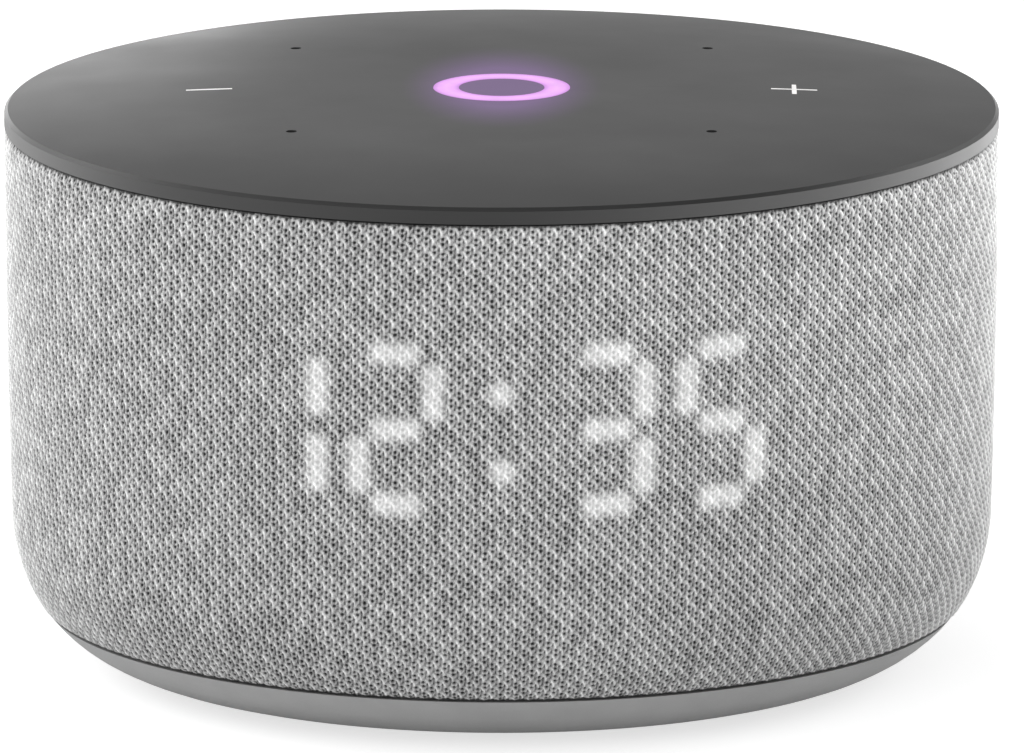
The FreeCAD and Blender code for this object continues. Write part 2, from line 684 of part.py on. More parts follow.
def heat_spreader():
    """Aluminium plate with low fins, on top of the shield can."""
    low_z = MAIN_BOARD_TOP + SHIELD_HEIGHT
    plate_x = (SHIELD_X[0] - 1, SHIELD_X[1] + 1)
    plate_y = (SHIELD_Y[0] - 1, SHIELD_Y[1] + 1)
    plate = block(plate_x, plate_y, (low_z, low_z + 0.8))
    pitch = (SHIELD_X[1] - SHIELD_X[0]) / FIN_COUNT
    fins = [block(centred(0.4, SHIELD_X[0] + (index + 0.5) * pitch), SHIELD_Y, (low_z + 0.7, low_z + 2.2))
            for index in range(FIN_COUNT)]
    return plate.multiFuse(fins).removeSplitter()


def board_components():
    """Coils, capacitors, chips and sockets that stand on the main board."""
    low_z = MAIN_BOARD_TOP
    parts = [block(centred(3.0, 17.0), centred(3.0, -6.0), (low_z, low_z + 2.8)),
             block(centred(3.0, 17.0), centred(3.0, 3.0), (low_z, low_z + 2.8)),
             block(centred(3.5, 22.0), centred(3.5, 11.5), (low_z, low_z + 1.0)),
             block(centred(2.5, -22.0), centred(4.0, -8.0), (low_z, low_z + 1.0)),
             block(centred(3.0, -22.0), centred(2.2, 5.0), (low_z, low_z + 1.4)),
             block(centred(5.0), centred(1.6, -29.6), (low_z, low_z + 1.6)),
             block(centred(5.0, 2.0), centred(1.6, 30.0), (low_z, low_z + 1.6)),
             block(centred(4.0, -10.0), centred(1.6, 22.0), (low_z, low_z + 1.6))]
    parts += [disc(2.0, low_z, low_z + 3.6, x, 26.0) for x in (-22.0, -17.0, 12.0)]
    return group(parts)


def wifi_antennas():
    """Two folded metal strips at the edge of the main board."""
    strip = block(centred(6.0), (33.4, 34.2), (MAIN_BOARD_TOP, MAIN_BOARD_TOP + 4.6))
    foot = block((-6.0, -4.0), (32.2, 34.2), (MAIN_BOARD_TOP, MAIN_BOARD_TOP + 0.8))
    antenna = strip.fuse(foot).removeSplitter()
    return group([spun(antenna, degrees) for degrees in (-50.0, 60.0)])


def board_screws():
    places = on_circle(BOARD_SCREW_RADIUS, CORNERS)
    return group([screw(x, y, MAIN_BOARD_TOP, 2.2, 1.1, 0.97, 5.0, upwards=False) for x, y in places])


# ---------------------------------------------------------------- speaker box
BOX_SCREW_RADIUS = 29.4
BOX_SCREW_ANGLES = (58.0, 122.0, 238.0, 302.0)
GASKET = 0.6
RADIATOR_FRAME = 11.0
RADIATOR_HOLE = 9.6


def box_outline(inset, low_z, high_z):
    """The box's plan, a circle with two flats, made into a solid."""
    between_flats = block(centred(BOX_FLAT_X - inset), centred(FAR), (low_z, high_z))
    return disc(BOX_RADIUS - inset, low_z, high_z).common(between_flats)


def box_screw_places():
    return on_circle(BOX_SCREW_RADIUS, BOX_SCREW_ANGLES)


def speaker_box():
    """Open-topped sealed box: driver hole in the floor, a radiator hole in each flat."""
    outer = box_outline(0.0, BOX_FLOOR_Z, BOX_SPLIT_Z)
    hollow = box_outline(BOX_WALL, BOX_FLOOR_Z + BOX_WALL, BOX_SPLIT_Z + 1)
    box = outer.cut(hollow)
    posts = [disc(BOSS_RADIUS, BOX_FLOOR_Z + BOX_WALL - BITE, BOX_SPLIT_Z, x, y)
             for x, y in box_screw_places()]
    box = box.multiFuse(posts).common(outer)
    holes = [disc(DRIVER_RADIUS - 3.4, BOX_FLOOR_Z - 1, BOX_FLOOR_Z + BOX_WALL + 1)]
    holes += [rod_x(RADIATOR_HOLE, -FAR, FAR)]
    holes += [disc(1.0, BOX_SPLIT_Z - 10.0, BOX_SPLIT_Z + 1, x, y) for x, y in box_screw_places()]
    holes += [disc(0.9, BOX_FLOOR_Z - 1, BOX_FLOOR_Z + BOX_WALL + 1, x, y) for x, y in driver_screw_places()]
    return box.cut(group(holes))


def box_gasket():
    """Soft seal between the box and its lid."""
    ring = box_outline(0.2, BOX_SPLIT_Z, BOX_SPLIT_Z + GASKET).cut(
        box_outline(BOX_WALL - 0.2, BOX_SPLIT_Z, BOX_SPLIT_Z + GASKET))
    clear = [disc(BOSS_RADIUS + 0.2, BOX_SPLIT_Z - 1, BOX_SPLIT_Z + 2, x, y) for x, y in box_screw_places()]
    pads = [tube(BOSS_RADIUS - 0.1, 1.5, BOX_SPLIT_Z, BOX_SPLIT_Z + GASKET, x, y)
            for x, y in box_screw_places()]
    return group(ring.cut(group(clear)).Solids + pads)


def box_lid():
    """Domed lid of the box, with posts for the main board and stepped screw holes."""
    low_z = BOX_SPLIT_Z + GASKET
    lid = box_outline(0.0, low_z, BOX_TOP_Z).cut(box_outline(BOX_WALL, low_z - 1, BOX_TOP_Z - BOX_WALL))
    bosses = [disc(BOSS_RADIUS, low_z, BOX_TOP_Z, x, y) for x, y in box_screw_places()]
    board_posts = [disc(POST_RADIUS, BOX_TOP_Z - 0.1, MAIN_BOARD_Z, x, y)
                   for x, y in on_circle(BOARD_SCREW_RADIUS, CORNERS)]
    lid = lid.multiFuse([boss.common(box_outline(0.0, low_z, BOX_TOP_Z)) for boss in bosses] + board_posts)
    holes = [disc(1.3, low_z - 1, BOX_TOP_Z + 1, x, y) for x, y in box_screw_places()]
    holes += [disc(2.3, BOX_TOP_Z - 1.6, BOX_TOP_Z + 1, x, y) for x, y in box_screw_places()]
    holes += [disc(1.0, BOX_TOP_Z - 1.2, MAIN_BOARD_Z + 1, x, y)
              for x, y in on_circle(BOARD_SCREW_RADIUS, CORNERS)]
    return lid.cut(group(holes))


def box_screws():
    return group([screw(x, y, BOX_TOP_Z - 1.6, 2.1, 1.3, 0.97, 9.0, upwards=False)
                  for x, y in box_screw_places()])


# ---------------------------------------------------------------- driver
CONE_LOW_RADIUS = 15.0
CONE_LOW_Z = 11.4
CONE_NECK_RADIUS = 6.9
CONE_NECK_Z = 16.2
CONE_SHEET = 0.5
COIL_RADIUS = 6.9
COIL_WALL = 0.5
COIL_LOW_Z = 15.4
COIL_HIGH_Z = 23.4
TOP_PLATE_Z = (18.6, 21.0)
MAGNET_Z = (21.0, 26.0)
BACK_PLATE_Z = (26.0, 28.6)
MAGNET_RADIUS = 14.0
POLE_RADIUS = 6.0
MOTOR_BORE = 7.4
SPIDER_Z = 17.2
SPIDER_OUTER = 13.4


def driver_screw_places():
    return on_circle(DRIVER_RADIUS - 1.9, CORNERS)


def driver_frame():
    """Pressed frame: flange under the box floor, six arms and a ring that holds the motor."""
    flange_top = DRIVER_FLANGE_Z + DRIVER_FLANGE
    flange = tube(DRIVER_RADIUS, 18.4, DRIVER_FLANGE_Z, flange_top)
    basket = turned_polygon([(18.5, flange_top - 0.6), (18.5, flange_top), (15.4, TOP_PLATE_Z[0]),
                             (8.2, TOP_PLATE_Z[0]), (8.2, TOP_PLATE_Z[0] - 0.9), (14.6, TOP_PLATE_Z[0] - 0.9),
                             (17.5, flange_top - 0.6)])
    opening = block((14.9, 20.0), centred(4.6), (flange_top + 1.0, TOP_PLATE_Z[0] - 1.6))
    windows = [spun(opening, degrees) for degrees in bearings(6)]
    inner_rim = tube(18.5, 17.5, DRIVER_FLANGE_Z, flange_top)
    holes = [disc(1.2, DRIVER_FLANGE_Z - 1, flange_top + 1, x, y) for x, y in driver_screw_places()]
    return flange.multiFuse([inner_rim, basket.cut(group(windows))]).cut(group(holes)).removeSplitter()


def driver_top_plate():
    return tube(MAGNET_RADIUS - 0.5, MOTOR_BORE, *TOP_PLATE_Z)


def driver_magnet():
    return tube(MAGNET_RADIUS, MOTOR_BORE + 1.2, *MAGNET_Z)


def driver_back_plate():
    """Steel plate with the pole that stands inside the voice coil."""
    plate = disc(MAGNET_RADIUS - 0.5, *BACK_PLATE_Z)
    pole = disc(POLE_RADIUS, TOP_PLATE_Z[0], BACK_PLATE_Z[0] + 0.1)
    return plate.fuse(pole).removeSplitter()


def driver_cone():
    """Paper cone, open downwards, with a flat lip for the surround."""
    return turned_polygon([(CONE_LOW_RADIUS, CONE_LOW_Z), (CONE_LOW_RADIUS, CONE_LOW_Z + CONE_SHEET),
                           (CONE_LOW_RADIUS - 1.6, CONE_LOW_Z + CONE_SHEET),
                           (CONE_NECK_RADIUS, CONE_NECK_Z + CONE_SHEET), (CONE_NECK_RADIUS, CONE_NECK_Z),
                           (CONE_LOW_RADIUS - 1.6, CONE_LOW_Z)])


def dust_cap():
    """Shallow dome glued inside the cone, below the voice coil. It is a slice of a thin ball."""
    rim = CONE_NECK_RADIUS - 0.6
    rise = 1.9
    sheet = 0.4
    ball = (rim ** 2 + rise ** 2) / (2 * rise)
    rim_z = COIL_LOW_Z - SLIP
    middle = point(0, 0, rim_z - rise + ball)
    skin = Part.makeSphere(ball, middle).cut(Part.makeSphere(ball - sheet, middle))
    return skin.common(disc(rim, rim_z - rise - 1, rim_z))


def voice_coil():
    """Thin former with its winding, in the gap round the pole."""
    return tube(COIL_RADIUS, COIL_RADIUS - COIL_WALL, COIL_LOW_Z, COIL_HIGH_Z)


def driver_surround():
    """Half-round rubber roll between the cone's lip and the frame."""
    inner_radius = CONE_LOW_RADIUS + SLIP
    outer_radius = 17.5 - SLIP
    middle = (inner_radius + outer_radius) / 2
    rubber = 0.3
    depth = 1.1
    inner_edge, outer_edge = point(inner_radius, 0, CONE_LOW_Z), point(outer_radius, 0, CONE_LOW_Z)
    inner_fold, outer_fold = inner_edge + OUT_X * rubber, outer_edge - OUT_X * rubber
    lower = Part.Arc(inner_edge, point(middle, 0, CONE_LOW_Z - depth), outer_edge).toShape()
    upper = Part.Arc(inner_fold, point(middle, 0, CONE_LOW_Z - depth + rubber), outer_fold).toShape()
    return turned([lower, upper, line(inner_edge, inner_fold), line(outer_edge, outer_fold)])


def driver_spider():
    """Flat woven centring disc with three ridges."""
    spider = tube(SPIDER_OUTER, COIL_RADIUS + SLIP, SPIDER_Z, SPIDER_Z + 0.3)
    ridges = [tube(radius + 0.4, radius - 0.4, SPIDER_Z + 0.2, SPIDER_Z + 0.45)
              for radius in (8.6, 10.4, 12.2)]
    return spider.multiFuse(ridges).removeSplitter()


def driver_screws():
    return group([screw(x, y, DRIVER_FLANGE_Z, 1.7, 1.0, 0.87, 4.0) for x, y in driver_screw_places()])


# ---------------------------------------------------------------- passive radiators
RADIATOR_PLATE = 7.2
RADIATOR_FRAME_X = (BOX_FLAT_X, BOX_FLAT_X + 1.8)


def rod_x(radius, low_x, high_x):
    return Part.makeCylinder(radius, high_x - low_x, point(low_x, 0, RADIATOR_Z), OUT_X)


def radiator_frame():
    """Round frame screwed to the box's flat."""
    low_x, high_x = RADIATOR_FRAME_X
    return rod_x(RADIATOR_FRAME, low_x, high_x).cut(rod_x(RADIATOR_HOLE, low_x, high_x))


def radiator_plate():
    """Heavy plate with a raised middle, hung in the surround."""
    low_x = RADIATOR_FRAME_X[0] + 0.2
    plate = rod_x(RADIATOR_PLATE, low_x, low_x + 1.2)
    weight = rod_x(RADIATOR_PLATE - 2.4, low_x - 1.2, low_x + 0.1)
    return plate.fuse(weight).removeSplitter()


def radiator_surround():
    """Half-round roll between the plate and its frame, turned about the plate's axis."""
    inner_radius = RADIATOR_PLATE + SLIP
    outer_radius = RADIATOR_HOLE - SLIP
    middle = (inner_radius + outer_radius) / 2
    base_x = RADIATOR_FRAME_X[0] + 0.5
    roll = (outer_radius - inner_radius) / 2

    def place(radius, x):
        return point(x, 0, RADIATOR_Z + radius)

    outer = Part.Arc(place(inner_radius, base_x), place(middle, base_x + roll),
                     place(outer_radius, base_x)).toShape()
    inner = Part.Arc(place(inner_radius + 0.35, base_x), place(middle, base_x + roll - 0.35),
                     place(outer_radius - 0.35, base_x)).toShape()
    ends = [line(place(inner_radius, base_x), place(inner_radius + 0.35, base_x)),
            line(place(outer_radius, base_x), place(outer_radius - 0.35, base_x))]
    wire = Part.Wire(Part.__sortEdges__([outer, inner] + ends))
    return Part.Face(wire).revolve(point(0, 0, RADIATOR_Z), OUT_X, 360)


# ---------------------------------------------------------------- sound deflector
def sound_deflector():
    """Flared cone on the base floor that turns the driver's sound outwards."""
    low_z = BASE_FLOOR_TOP
    tip = point(0, 0, low_z + 5.0)
    rim = point(20.0, 0, low_z + 0.6)
    flare = Part.Arc(tip, point(7.0, 0, low_z + 2.6), rim).toShape()
    foot = point(20.0, 0, low_z)
    axis_low = point(0, 0, low_z)
    return turned([flare, line(rim, foot), line(foot, axis_low), line(axis_low, tip)])


# ---------------------------------------------------------------- display
DISPLAY_FRONT_Y = DISPLAY_BACK_Y - BOARD
REFLECTOR_INSET = GRILLE_INNER_INSET + 1.0
DIFFUSER_INSET = GRILLE_INNER_INSET + SLIP
SEGMENT_GAP = 0.5


def segment_bars(middle_x):
    """Seven bars of one digit, as (x range, z range) pairs."""
    half_width = DIGIT_WIDTH / 2
    left, right = middle_x - half_width, middle_x + half_width
    low, high = DIGIT_LOW_Z, DIGIT_HIGH_Z
    middle = (low + high) / 2
    half = SEGMENT / 2
    inner = SEGMENT + SEGMENT_GAP
    bars = []
    for level in (low + half, middle, high - half):
        bars.append(((left + inner, right - inner), (level - half, level + half)))
    lower_half = (low + inner, middle - half - SEGMENT_GAP)
    upper_half = (middle + half + SEGMENT_GAP, high - inner)
    for bottom, top in (lower_half, upper_half):
        bars.append(((left, left + SEGMENT), (bottom, top)))
        bars.append(((right - SEGMENT, right), (bottom, top)))
    return bars


def light_windows():
    """All segment bars and the two colon dots."""
    bars = [bar for middle_x in DIGIT_CENTRES for bar in segment_bars(middle_x)]
    bars += [(centred(SEGMENT / 2), centred(SEGMENT / 2, height)) for height in COLON_HEIGHTS]
    return bars


def display_slab(front_y, back_y):
    """The display's outline between two places along Y."""
    return block(centred(DISPLAY_HALF_WIDTH), (front_y, back_y), (DISPLAY_LOW_Z, DISPLAY_HIGH_Z))


def display_board():
    return display_slab(DISPLAY_FRONT_Y, DISPLAY_BACK_Y)


def display_leds():
    """One LED behind each window."""
    leds = []
    for x_range, z_range in light_windows():
        middle_x = sum(x_range) / 2
        middle_z = sum(z_range) / 2
        leds.append(block(centred(0.7, middle_x), (DISPLAY_FRONT_Y - LED_HEIGHT, DISPLAY_FRONT_Y),
                          centred(0.7, middle_z)))
    return group(leds)


def display_reflector():
    """White block with a flat back and a round front, and one light window per segment."""
    inside = filled_skin(DISPLAY_LOW_Z - 1, DISPLAY_HIGH_Z + 1, REFLECTOR_INSET)
    body = display_slab(-FAR, DISPLAY_FRONT_Y).common(inside)
    windows = [block(x_range, (-FAR, DISPLAY_FRONT_Y), z_range) for x_range, z_range in light_windows()]
    return body.cut(group(windows))


def display_diffuser():
    """Curved film held between the reflector and the grille body's window."""
    film = shell(DISPLAY_LOW_Z, DISPLAY_HIGH_Z, DIFFUSER_INSET, REFLECTOR_INSET - SLIP)
    return film.common(display_slab(-FAR, DISPLAY_FRONT_Y - SLIP))


# ---------------------------------------------------------------- ribbons
RIBBON = 0.3


def ribbon(corners, half_width, middle_x):
    """A flat flexible cable in a plane of constant X, from (y, z) corners with sharp folds."""
    upper = [point(middle_x - half_width, y, z) for y, z in corners]
    face = Part.Face(Part.makePolygon(upper + upper[:1]))
    return face.extrude(point(2 * half_width, 0, 0))


def display_ribbon():
    """From the back of the display board up and over the edge of the main board."""
    back = DISPLAY_BACK_Y
    top = MAIN_BOARD_TOP + 0.8
    return ribbon([(back, 41.0), (back + RIBBON, 41.0), (back + RIBBON, top), (-31.3, top),
                   (-31.3, top + RIBBON), (back, top + RIBBON)], 4.0, 0.0)


def port_ribbon():
    """From the port board up to the socket at the rear of the main board."""
    top = MAIN_BOARD_TOP + 0.8
    low = PORT_BOARD_TOP
    return ribbon([(34.6, low), (39.0, low), (39.0, top + RIBBON), (31.7, top + RIBBON), (31.7, top),
                   (39.0 - RIBBON, top), (39.0 - RIBBON, low + RIBBON), (34.6, low + RIBBON)], 1.8, 1.9)


def touch_ribbon():
    """From the main board up to the underside of the touch board."""
    low = MAIN_BOARD_TOP + 0.8
    high = TOUCH_BOARD_Z
    return ribbon([(23.7, low), (27.0, low), (27.0, high), (22.0, high), (22.0, high - RIBBON),
                   (27.0 - RIBBON, high - RIBBON), (27.0 - RIBBON, low + RIBBON), (23.7, low + RIBBON)],
                  3.0, -10.0)


# ---------------------------------------------------------------- all nodes
NODES = {
    "top_panel": top_panel,
    "light_ring": light_ring,
    "minus_mark": minus_mark,
    "plus_mark": plus_mark,
    "fabric_sleeve": fabric_sleeve,
    "grille_body": grille_body,
    "fabric_hoop": fabric_hoop,
    "base_cover": base_cover,
    "foot_pad": foot_pad,
    "base_screws": base_screws,
    "port_bezel": port_bezel,
    "port_board": port_board,
    "usb_c_receptacle": usb_c_receptacle,
    "usb_c_tongue": usb_c_tongue,
    "mute_switch": mute_switch,
    "mute_switch_lever": mute_switch_lever,
    "mute_slider": mute_slider,
    "touch_board": touch_board,
    "mic_capsules": mic_capsules,
    "mic_gaskets": mic_gaskets,
    "ring_leds": ring_leds,
    "ring_light_housing": ring_light_housing,
    "mark_leds": mark_leds,
    "main_board": main_board,
    "processor_shield": processor_shield,
    "heat_spreader": heat_spreader,
    "board_components": board_components,
    "wifi_antennas": wifi_antennas,
    "board_screws": board_screws,
    "speaker_box": speaker_box,
    "box_gasket": box_gasket,
    "box_lid": box_lid,
    "box_screws": box_screws,
    "driver_frame": driver_frame,
    "driver_top_plate": driver_top_plate,
    "driver_magnet": driver_magnet,
    "driver_back_plate": driver_back_plate,
    "driver_cone": driver_cone,
    "dust_cap": dust_cap,
    "voice_coil": voice_coil,
    "driver_surround": driver_surround,
    "driver_spider": driver_spider,
    "driver_screws": driver_screws,
    "right_radiator_frame": radiator_frame,
    "right_radiator_plate": radiator_plate,
    "right_radiator_surround": radiator_surround,
    "sound_deflector": sound_deflector,
    "display_board": display_board,
    "display_leds": display_leds,
    "display_reflector": display_reflector,
    "display_diffuser": display_diffuser,
    "display_ribbon": display_ribbon,
    "port_ribbon": port_ribbon,
    "touch_ribbon": touch_ribbon,
}
MIRRORED = ("radiator_frame", "radiator_plate", "radiator_surround")


def main():
    os.makedirs("parts", exist_ok=True)
    shapes = {name: make() for name, make in NODES.items()}
    for name in MIRRORED:
        shapes["left_" + name] = mirrored_x(shapes["right_" + name])
    for name, shape in shapes.items():
        solids = len(shape.Solids)
        print(f"{name}: {solids} solid(s), {shape.Volume:.1f} mm3, valid {shape.isValid()}")
        shape.exportStep(f"parts/{name}.step")


main()
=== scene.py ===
import bpy
import math
import numpy as np
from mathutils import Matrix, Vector


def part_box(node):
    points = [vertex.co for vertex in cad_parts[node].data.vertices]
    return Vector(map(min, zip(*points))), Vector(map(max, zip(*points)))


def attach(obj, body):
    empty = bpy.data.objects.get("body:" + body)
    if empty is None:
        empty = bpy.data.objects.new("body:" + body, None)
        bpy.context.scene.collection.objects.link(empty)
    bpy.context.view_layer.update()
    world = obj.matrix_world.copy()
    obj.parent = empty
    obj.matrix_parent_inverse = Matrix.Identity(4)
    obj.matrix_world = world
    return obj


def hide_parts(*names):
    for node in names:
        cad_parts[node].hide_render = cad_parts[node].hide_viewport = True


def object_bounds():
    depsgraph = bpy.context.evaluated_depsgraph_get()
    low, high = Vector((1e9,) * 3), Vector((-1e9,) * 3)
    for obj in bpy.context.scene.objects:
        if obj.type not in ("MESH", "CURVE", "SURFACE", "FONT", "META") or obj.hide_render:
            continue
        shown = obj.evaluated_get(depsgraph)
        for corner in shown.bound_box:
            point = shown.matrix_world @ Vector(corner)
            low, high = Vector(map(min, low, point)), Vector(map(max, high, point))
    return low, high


# Looks of the smart speaker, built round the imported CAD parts. Everything is in metres, in the
# CAD frame: origin in the middle of the footprint, +Z up, the clock faces -Y, the port faces +Y.
# Angles are in radians unless a comment says degrees.

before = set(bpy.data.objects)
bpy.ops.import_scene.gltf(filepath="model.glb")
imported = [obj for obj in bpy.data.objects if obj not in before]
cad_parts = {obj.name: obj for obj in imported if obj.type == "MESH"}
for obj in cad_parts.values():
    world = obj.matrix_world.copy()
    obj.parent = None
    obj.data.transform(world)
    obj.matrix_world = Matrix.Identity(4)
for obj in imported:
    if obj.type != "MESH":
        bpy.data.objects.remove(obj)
cad_low, cad_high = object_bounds()

MM = 0.001
SEED = 11
FAR = 1.0                        # farther away than any two points of the speaker
NOISE_RANGE = (0.3, 0.7)         # nearly all values of the noise texture lie between these

# ---------------------------------------------------------------- sizes shared with the CAD part
SLEEVE_LOW, SLEEVE_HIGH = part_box("fabric_sleeve")
BEZEL_LOW, BEZEL_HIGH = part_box("port_bezel")
SKIN_RADIUS = 49.88 * MM         # the sleeve's outline is three arcs, each tangent to the next
SKIN_START_Z = 54.92 * MM
BARREL_ARC = 1405.0 * MM
BARREL_SWEEP = 0.02805
SHOULDER_ARC = 18.3 * MM
SHOULDER_SWEEP = 0.3483
FOOT_ARC = 13.75 * MM
ARC_STEPS = 400                  # points worked out along each arc
RING_OUTER = 6.9 * MM
RING_INNER = 4.3 * MM

# ---------------------------------------------------------------- the knit
WALES = 194                      # pattern repeats round the body
COURSE = 1.54 * MM               # height of one repeat
STITCH_SAMPLES = 12              # mesh points across one repeat, each way
RELIEF = 0.36 * MM               # from the bottom of a hole to the crown of a thread
HEM_FADE = 0.7 * MM              # the knit is pressed flat this near to an edge
PRESSED_SHARE = 0.35             # share of the relief that is left at an edge
BEZEL_TUCK = 0.45 * MM           # the sleeve goes on under the port panel by this much
BEZEL_HOLD = 0.2 * MM            # and is pressed flattest from this far under it
TUCK_DROP = 0.30 * MM            # the cloth sinks in by this much at an edge
EDGE_SHADE = 0.35 * MM           # the cloth takes painted shade this near to an edge, where it goes under share of the brightness that the painted shade leaves at an edge
SHADED_SHARE = 0.3               # share of the brightness that is left at an edge
CROWN_LIFT = 0.12 * MM           # the highest threads stand proud of the CAD sleeve by this much
TONE_RELIEF = 0.06               # the lightest stitches stand higher by this share
# painted shade: the yarn is lighter the higher it lies in the relief and nearly black down in the holes
YARN_SHADES = ((0.0, 0.01), (0.25, 0.06), (0.55, 0.33), (0.8, 0.56), (1.0, 0.85))
BAKE_STRIPS = 3                  # the sleeve is unrolled into this many strips for its textures
BAKE_GAP = 0.01                  # space round each strip, as a share of it

# ---------------------------------------------------------------- clock
CLOCK = "1235"
DIGIT_CENTRES = (-22.5 * MM, -10.6 * MM, 10.6 * MM, 22.6 * MM)    # measured round the body
DIGIT_MIDDLE_Z = 34.05 * MM
DIGIT_HALF_HEIGHT = 7.6 * MM     # from the middle bar to the outer bars
DIGIT_HALF_WIDTH = 3.8 * MM      # to the middle of the upright bars
BAR_HALF_WIDTH = 1.05 * MM
FLAT_BAR_HALF = 2.45 * MM
UPRIGHT_BAR_HALF = 2.75 * MM
COLON_HEIGHTS = (30.05 * MM, 37.8 * MM)
COLON_RADIUS = 1.15 * MM
BAR_ROUNDNESS = 0.8              # corner radius of a bar, as a share of its half width
GLOW_BLUR = 1.7 * MM             # width of the soft edge of the lit bars
CLOCK_STRENGTH = (0.52, 0.26)    # light through the gaps and through the threads
SEGMENTS_LIT = {"1": "bc", "2": "abged", "3": "abgcd", "5": "afgcd"}

# ---------------------------------------------------------------- touch panel and base
HALO_START = 0.7                 # the ring's halo is full up to this share of the ring's radius
HALO_REACH = 3.5 * MM            # and ends this far outside the ring
HALO_STRETCH = (1.0, 0.5, 0.0)   # the halo is twice as long from front to back
HALO_FALL = 1.5
HALO_STRENGTH = 0.17
FOOT_SHADE = (0.5 * MM, 3.6 * MM)     # heights between which plastic is darkened towards its foot by painted shade

# ---------------------------------------------------------------- stage and camera
FLOOR_REACH = 6.0
FLOOR_GAP = 0.02 * MM            # keeps the floor's face off the foot pad's
FLOOR_GLOW = 0.2                 # light that the floor gives the speaker
FLOOR_SHOWN = 0.66               # light that it shows the camera
# Extra light from the floor beyond each side: where it starts, where it is full, how strong.
FLOOR_WINGS = ((-0.10, -0.20, 1.2), (0.10, 0.20, 3.4))
# Brightness of the room along an axis, where a minus sign means its negative side.
WALLS = (("X", -1.0), ("X", 0.15), ("Y", -1.65), ("Y", 0.72))
SOFT_BOXES = (                   # name, bearing and rise in degrees, distance, size, radiance
    ("left", -68.0, 14.0, 0.8, (0.45, 0.7), 4.6),
    ("right", 68.0, 14.0, 0.8, (0.45, 0.7), 3.6),
    ("behind_left", -25.0, 10.0, 0.26, (0.16, 0.07), 2.1),
)
CAMERA_PITCH = 0.2156
CAMERA_DISTANCE = 2.0
CAMERA_LENS = 697.4
SENSOR_WIDTH = 36.0              # lens and sensor are in millimetres
VIEW_END = 100.0
AIM = Vector((0.00104, 0.0, 0.02877))


# ================================================================ node helpers
def new_material(name):
    """A material with only its Principled shader and output, as (material, tree, shader)."""
    made = bpy.data.materials.new(name)
    made.use_nodes = True
    tree = made.node_tree
    return made, tree, tree.nodes["Principled BSDF"]


def set_inputs(node, values):
    """Plain values for a node's own sockets, by socket name."""
    for name, value in values.items():
        node.inputs[name].default_value = value


def add_node(tree, kind, settings=None, **inputs):
    """A node with its settings, where an input is a value or another node's socket."""
    node = tree.nodes.new(kind)
    for name, value in (settings or {}).items():
        setattr(node, name, value)
    for name, value in inputs.items():
        socket = node.inputs[name.replace("_", " ")]
        if isinstance(value, bpy.types.NodeSocket):
            tree.links.new(value, socket)
        else:
            socket.default_value = value
    return node


def grey(level, tint=(1.0, 1.0, 1.0)):
    """An opaque colour of one brightness, with an optional tint."""
    return tuple(level * share for share in tint) + (1.0,)


def place(tree):
    """The piece's own coordinates, in metres."""
    return add_node(tree, "ShaderNodeTexCoord").outputs["Object"]


def noise(tree, where, scale, detail=3.0, roughness=0.5):
    """Smooth noise with about `scale` blotches to the metre."""
    node = add_node(tree, "ShaderNodeTexNoise", Vector=where, Scale=scale, Detail=detail, Roughness=roughness)
    return node.outputs["Fac"]


def ramp(tree, value, stops):
    """Colour by value, from (position, colour) stops."""
    node = add_node(tree, "ShaderNodeValToRGB", Fac=value)
    elements = node.color_ramp.elements
    while len(elements) < len(stops):
        elements.new(0.5)
    for element, (position, colour) in zip(elements, stops):
        element.position = position
        element.color = colour
    return node.outputs["Color"]


def spread(tree, value, low, high, start=0.0, end=1.0):
    """The value, stretched from start..end to low..high and kept inside."""
    node = tree.nodes.new("ShaderNodeMapRange")
    tree.links.new(value, node.inputs["Value"])
    set_inputs(node, {"From Min": start, "From Max": end, "To Min": low, "To Max": high})
    return node.outputs["Result"]


def compute(tree, operation, first, second=0.0):
    """The result of a sum, where each term is a number or another node's socket."""
    node = tree.nodes.new("ShaderNodeMath")
    node.operation = operation
    for socket, value in zip(node.inputs, (first, second)):
        if isinstance(value, bpy.types.NodeSocket):
            tree.links.new(value, socket)
        else:
            socket.default_value = value
    return node.outputs["Value"]


def bump(tree, shader, height, distance, strength=1.0):
    """Fine relief on the shader, `distance` high."""
    node = add_node(tree, "ShaderNodeBump", Height=height, Distance=distance, Strength=strength)
    tree.links.new(node.outputs["Normal"], shader.inputs["Normal"])


def attribute(tree, name):
    """A number kept on the mesh, point by point."""
    node = add_node(tree, "ShaderNodeAttribute", {"attribute_name": name})
    return node.outputs["Fac"]


# ================================================================ materials
def moulded_plastic(name, level, roughness, grain=5200.0, depth=0.02 * MM, tint=(1, 1, 1), specular=0.5,
                    foot=1.0):
    """Moulded plastic: fine mould grain, faint mottling and uneven gloss. `foot` paints shade on its low
    edge.
    """
    made, tree, shader = new_material(name)
    where = place(tree)
    mottle = noise(tree, where, 140.0, detail=4.0)
    fine = noise(tree, where, grain, detail=2.0, roughness=0.6)
    stops = [(0.3, grey(level * 0.94, tint)), (0.7, grey(level * 1.06, tint))]
    height = add_node(tree, "ShaderNodeSeparateXYZ", Vector=where).outputs["Z"]
    # painted shade: darker towards the bottom, down to `foot` times the colour
    painted_foot_shade = spread(tree, height, foot, 1.0, *FOOT_SHADE)
    colour = add_node(tree, "ShaderNodeVectorMath", {"operation": "SCALE"}, Scale=painted_foot_shade)
    tree.links.new(ramp(tree, mottle, stops), colour.inputs[0])
    tree.links.new(colour.outputs["Vector"], shader.inputs["Base Color"])
    gloss = spread(tree, fine, roughness - 0.06, roughness + 0.06, *NOISE_RANGE)
    tree.links.new(gloss, shader.inputs["Roughness"])
    set_inputs(shader, {"Specular IOR Level": specular})
    bump(tree, shader, fine, depth, 0.6)
    return made


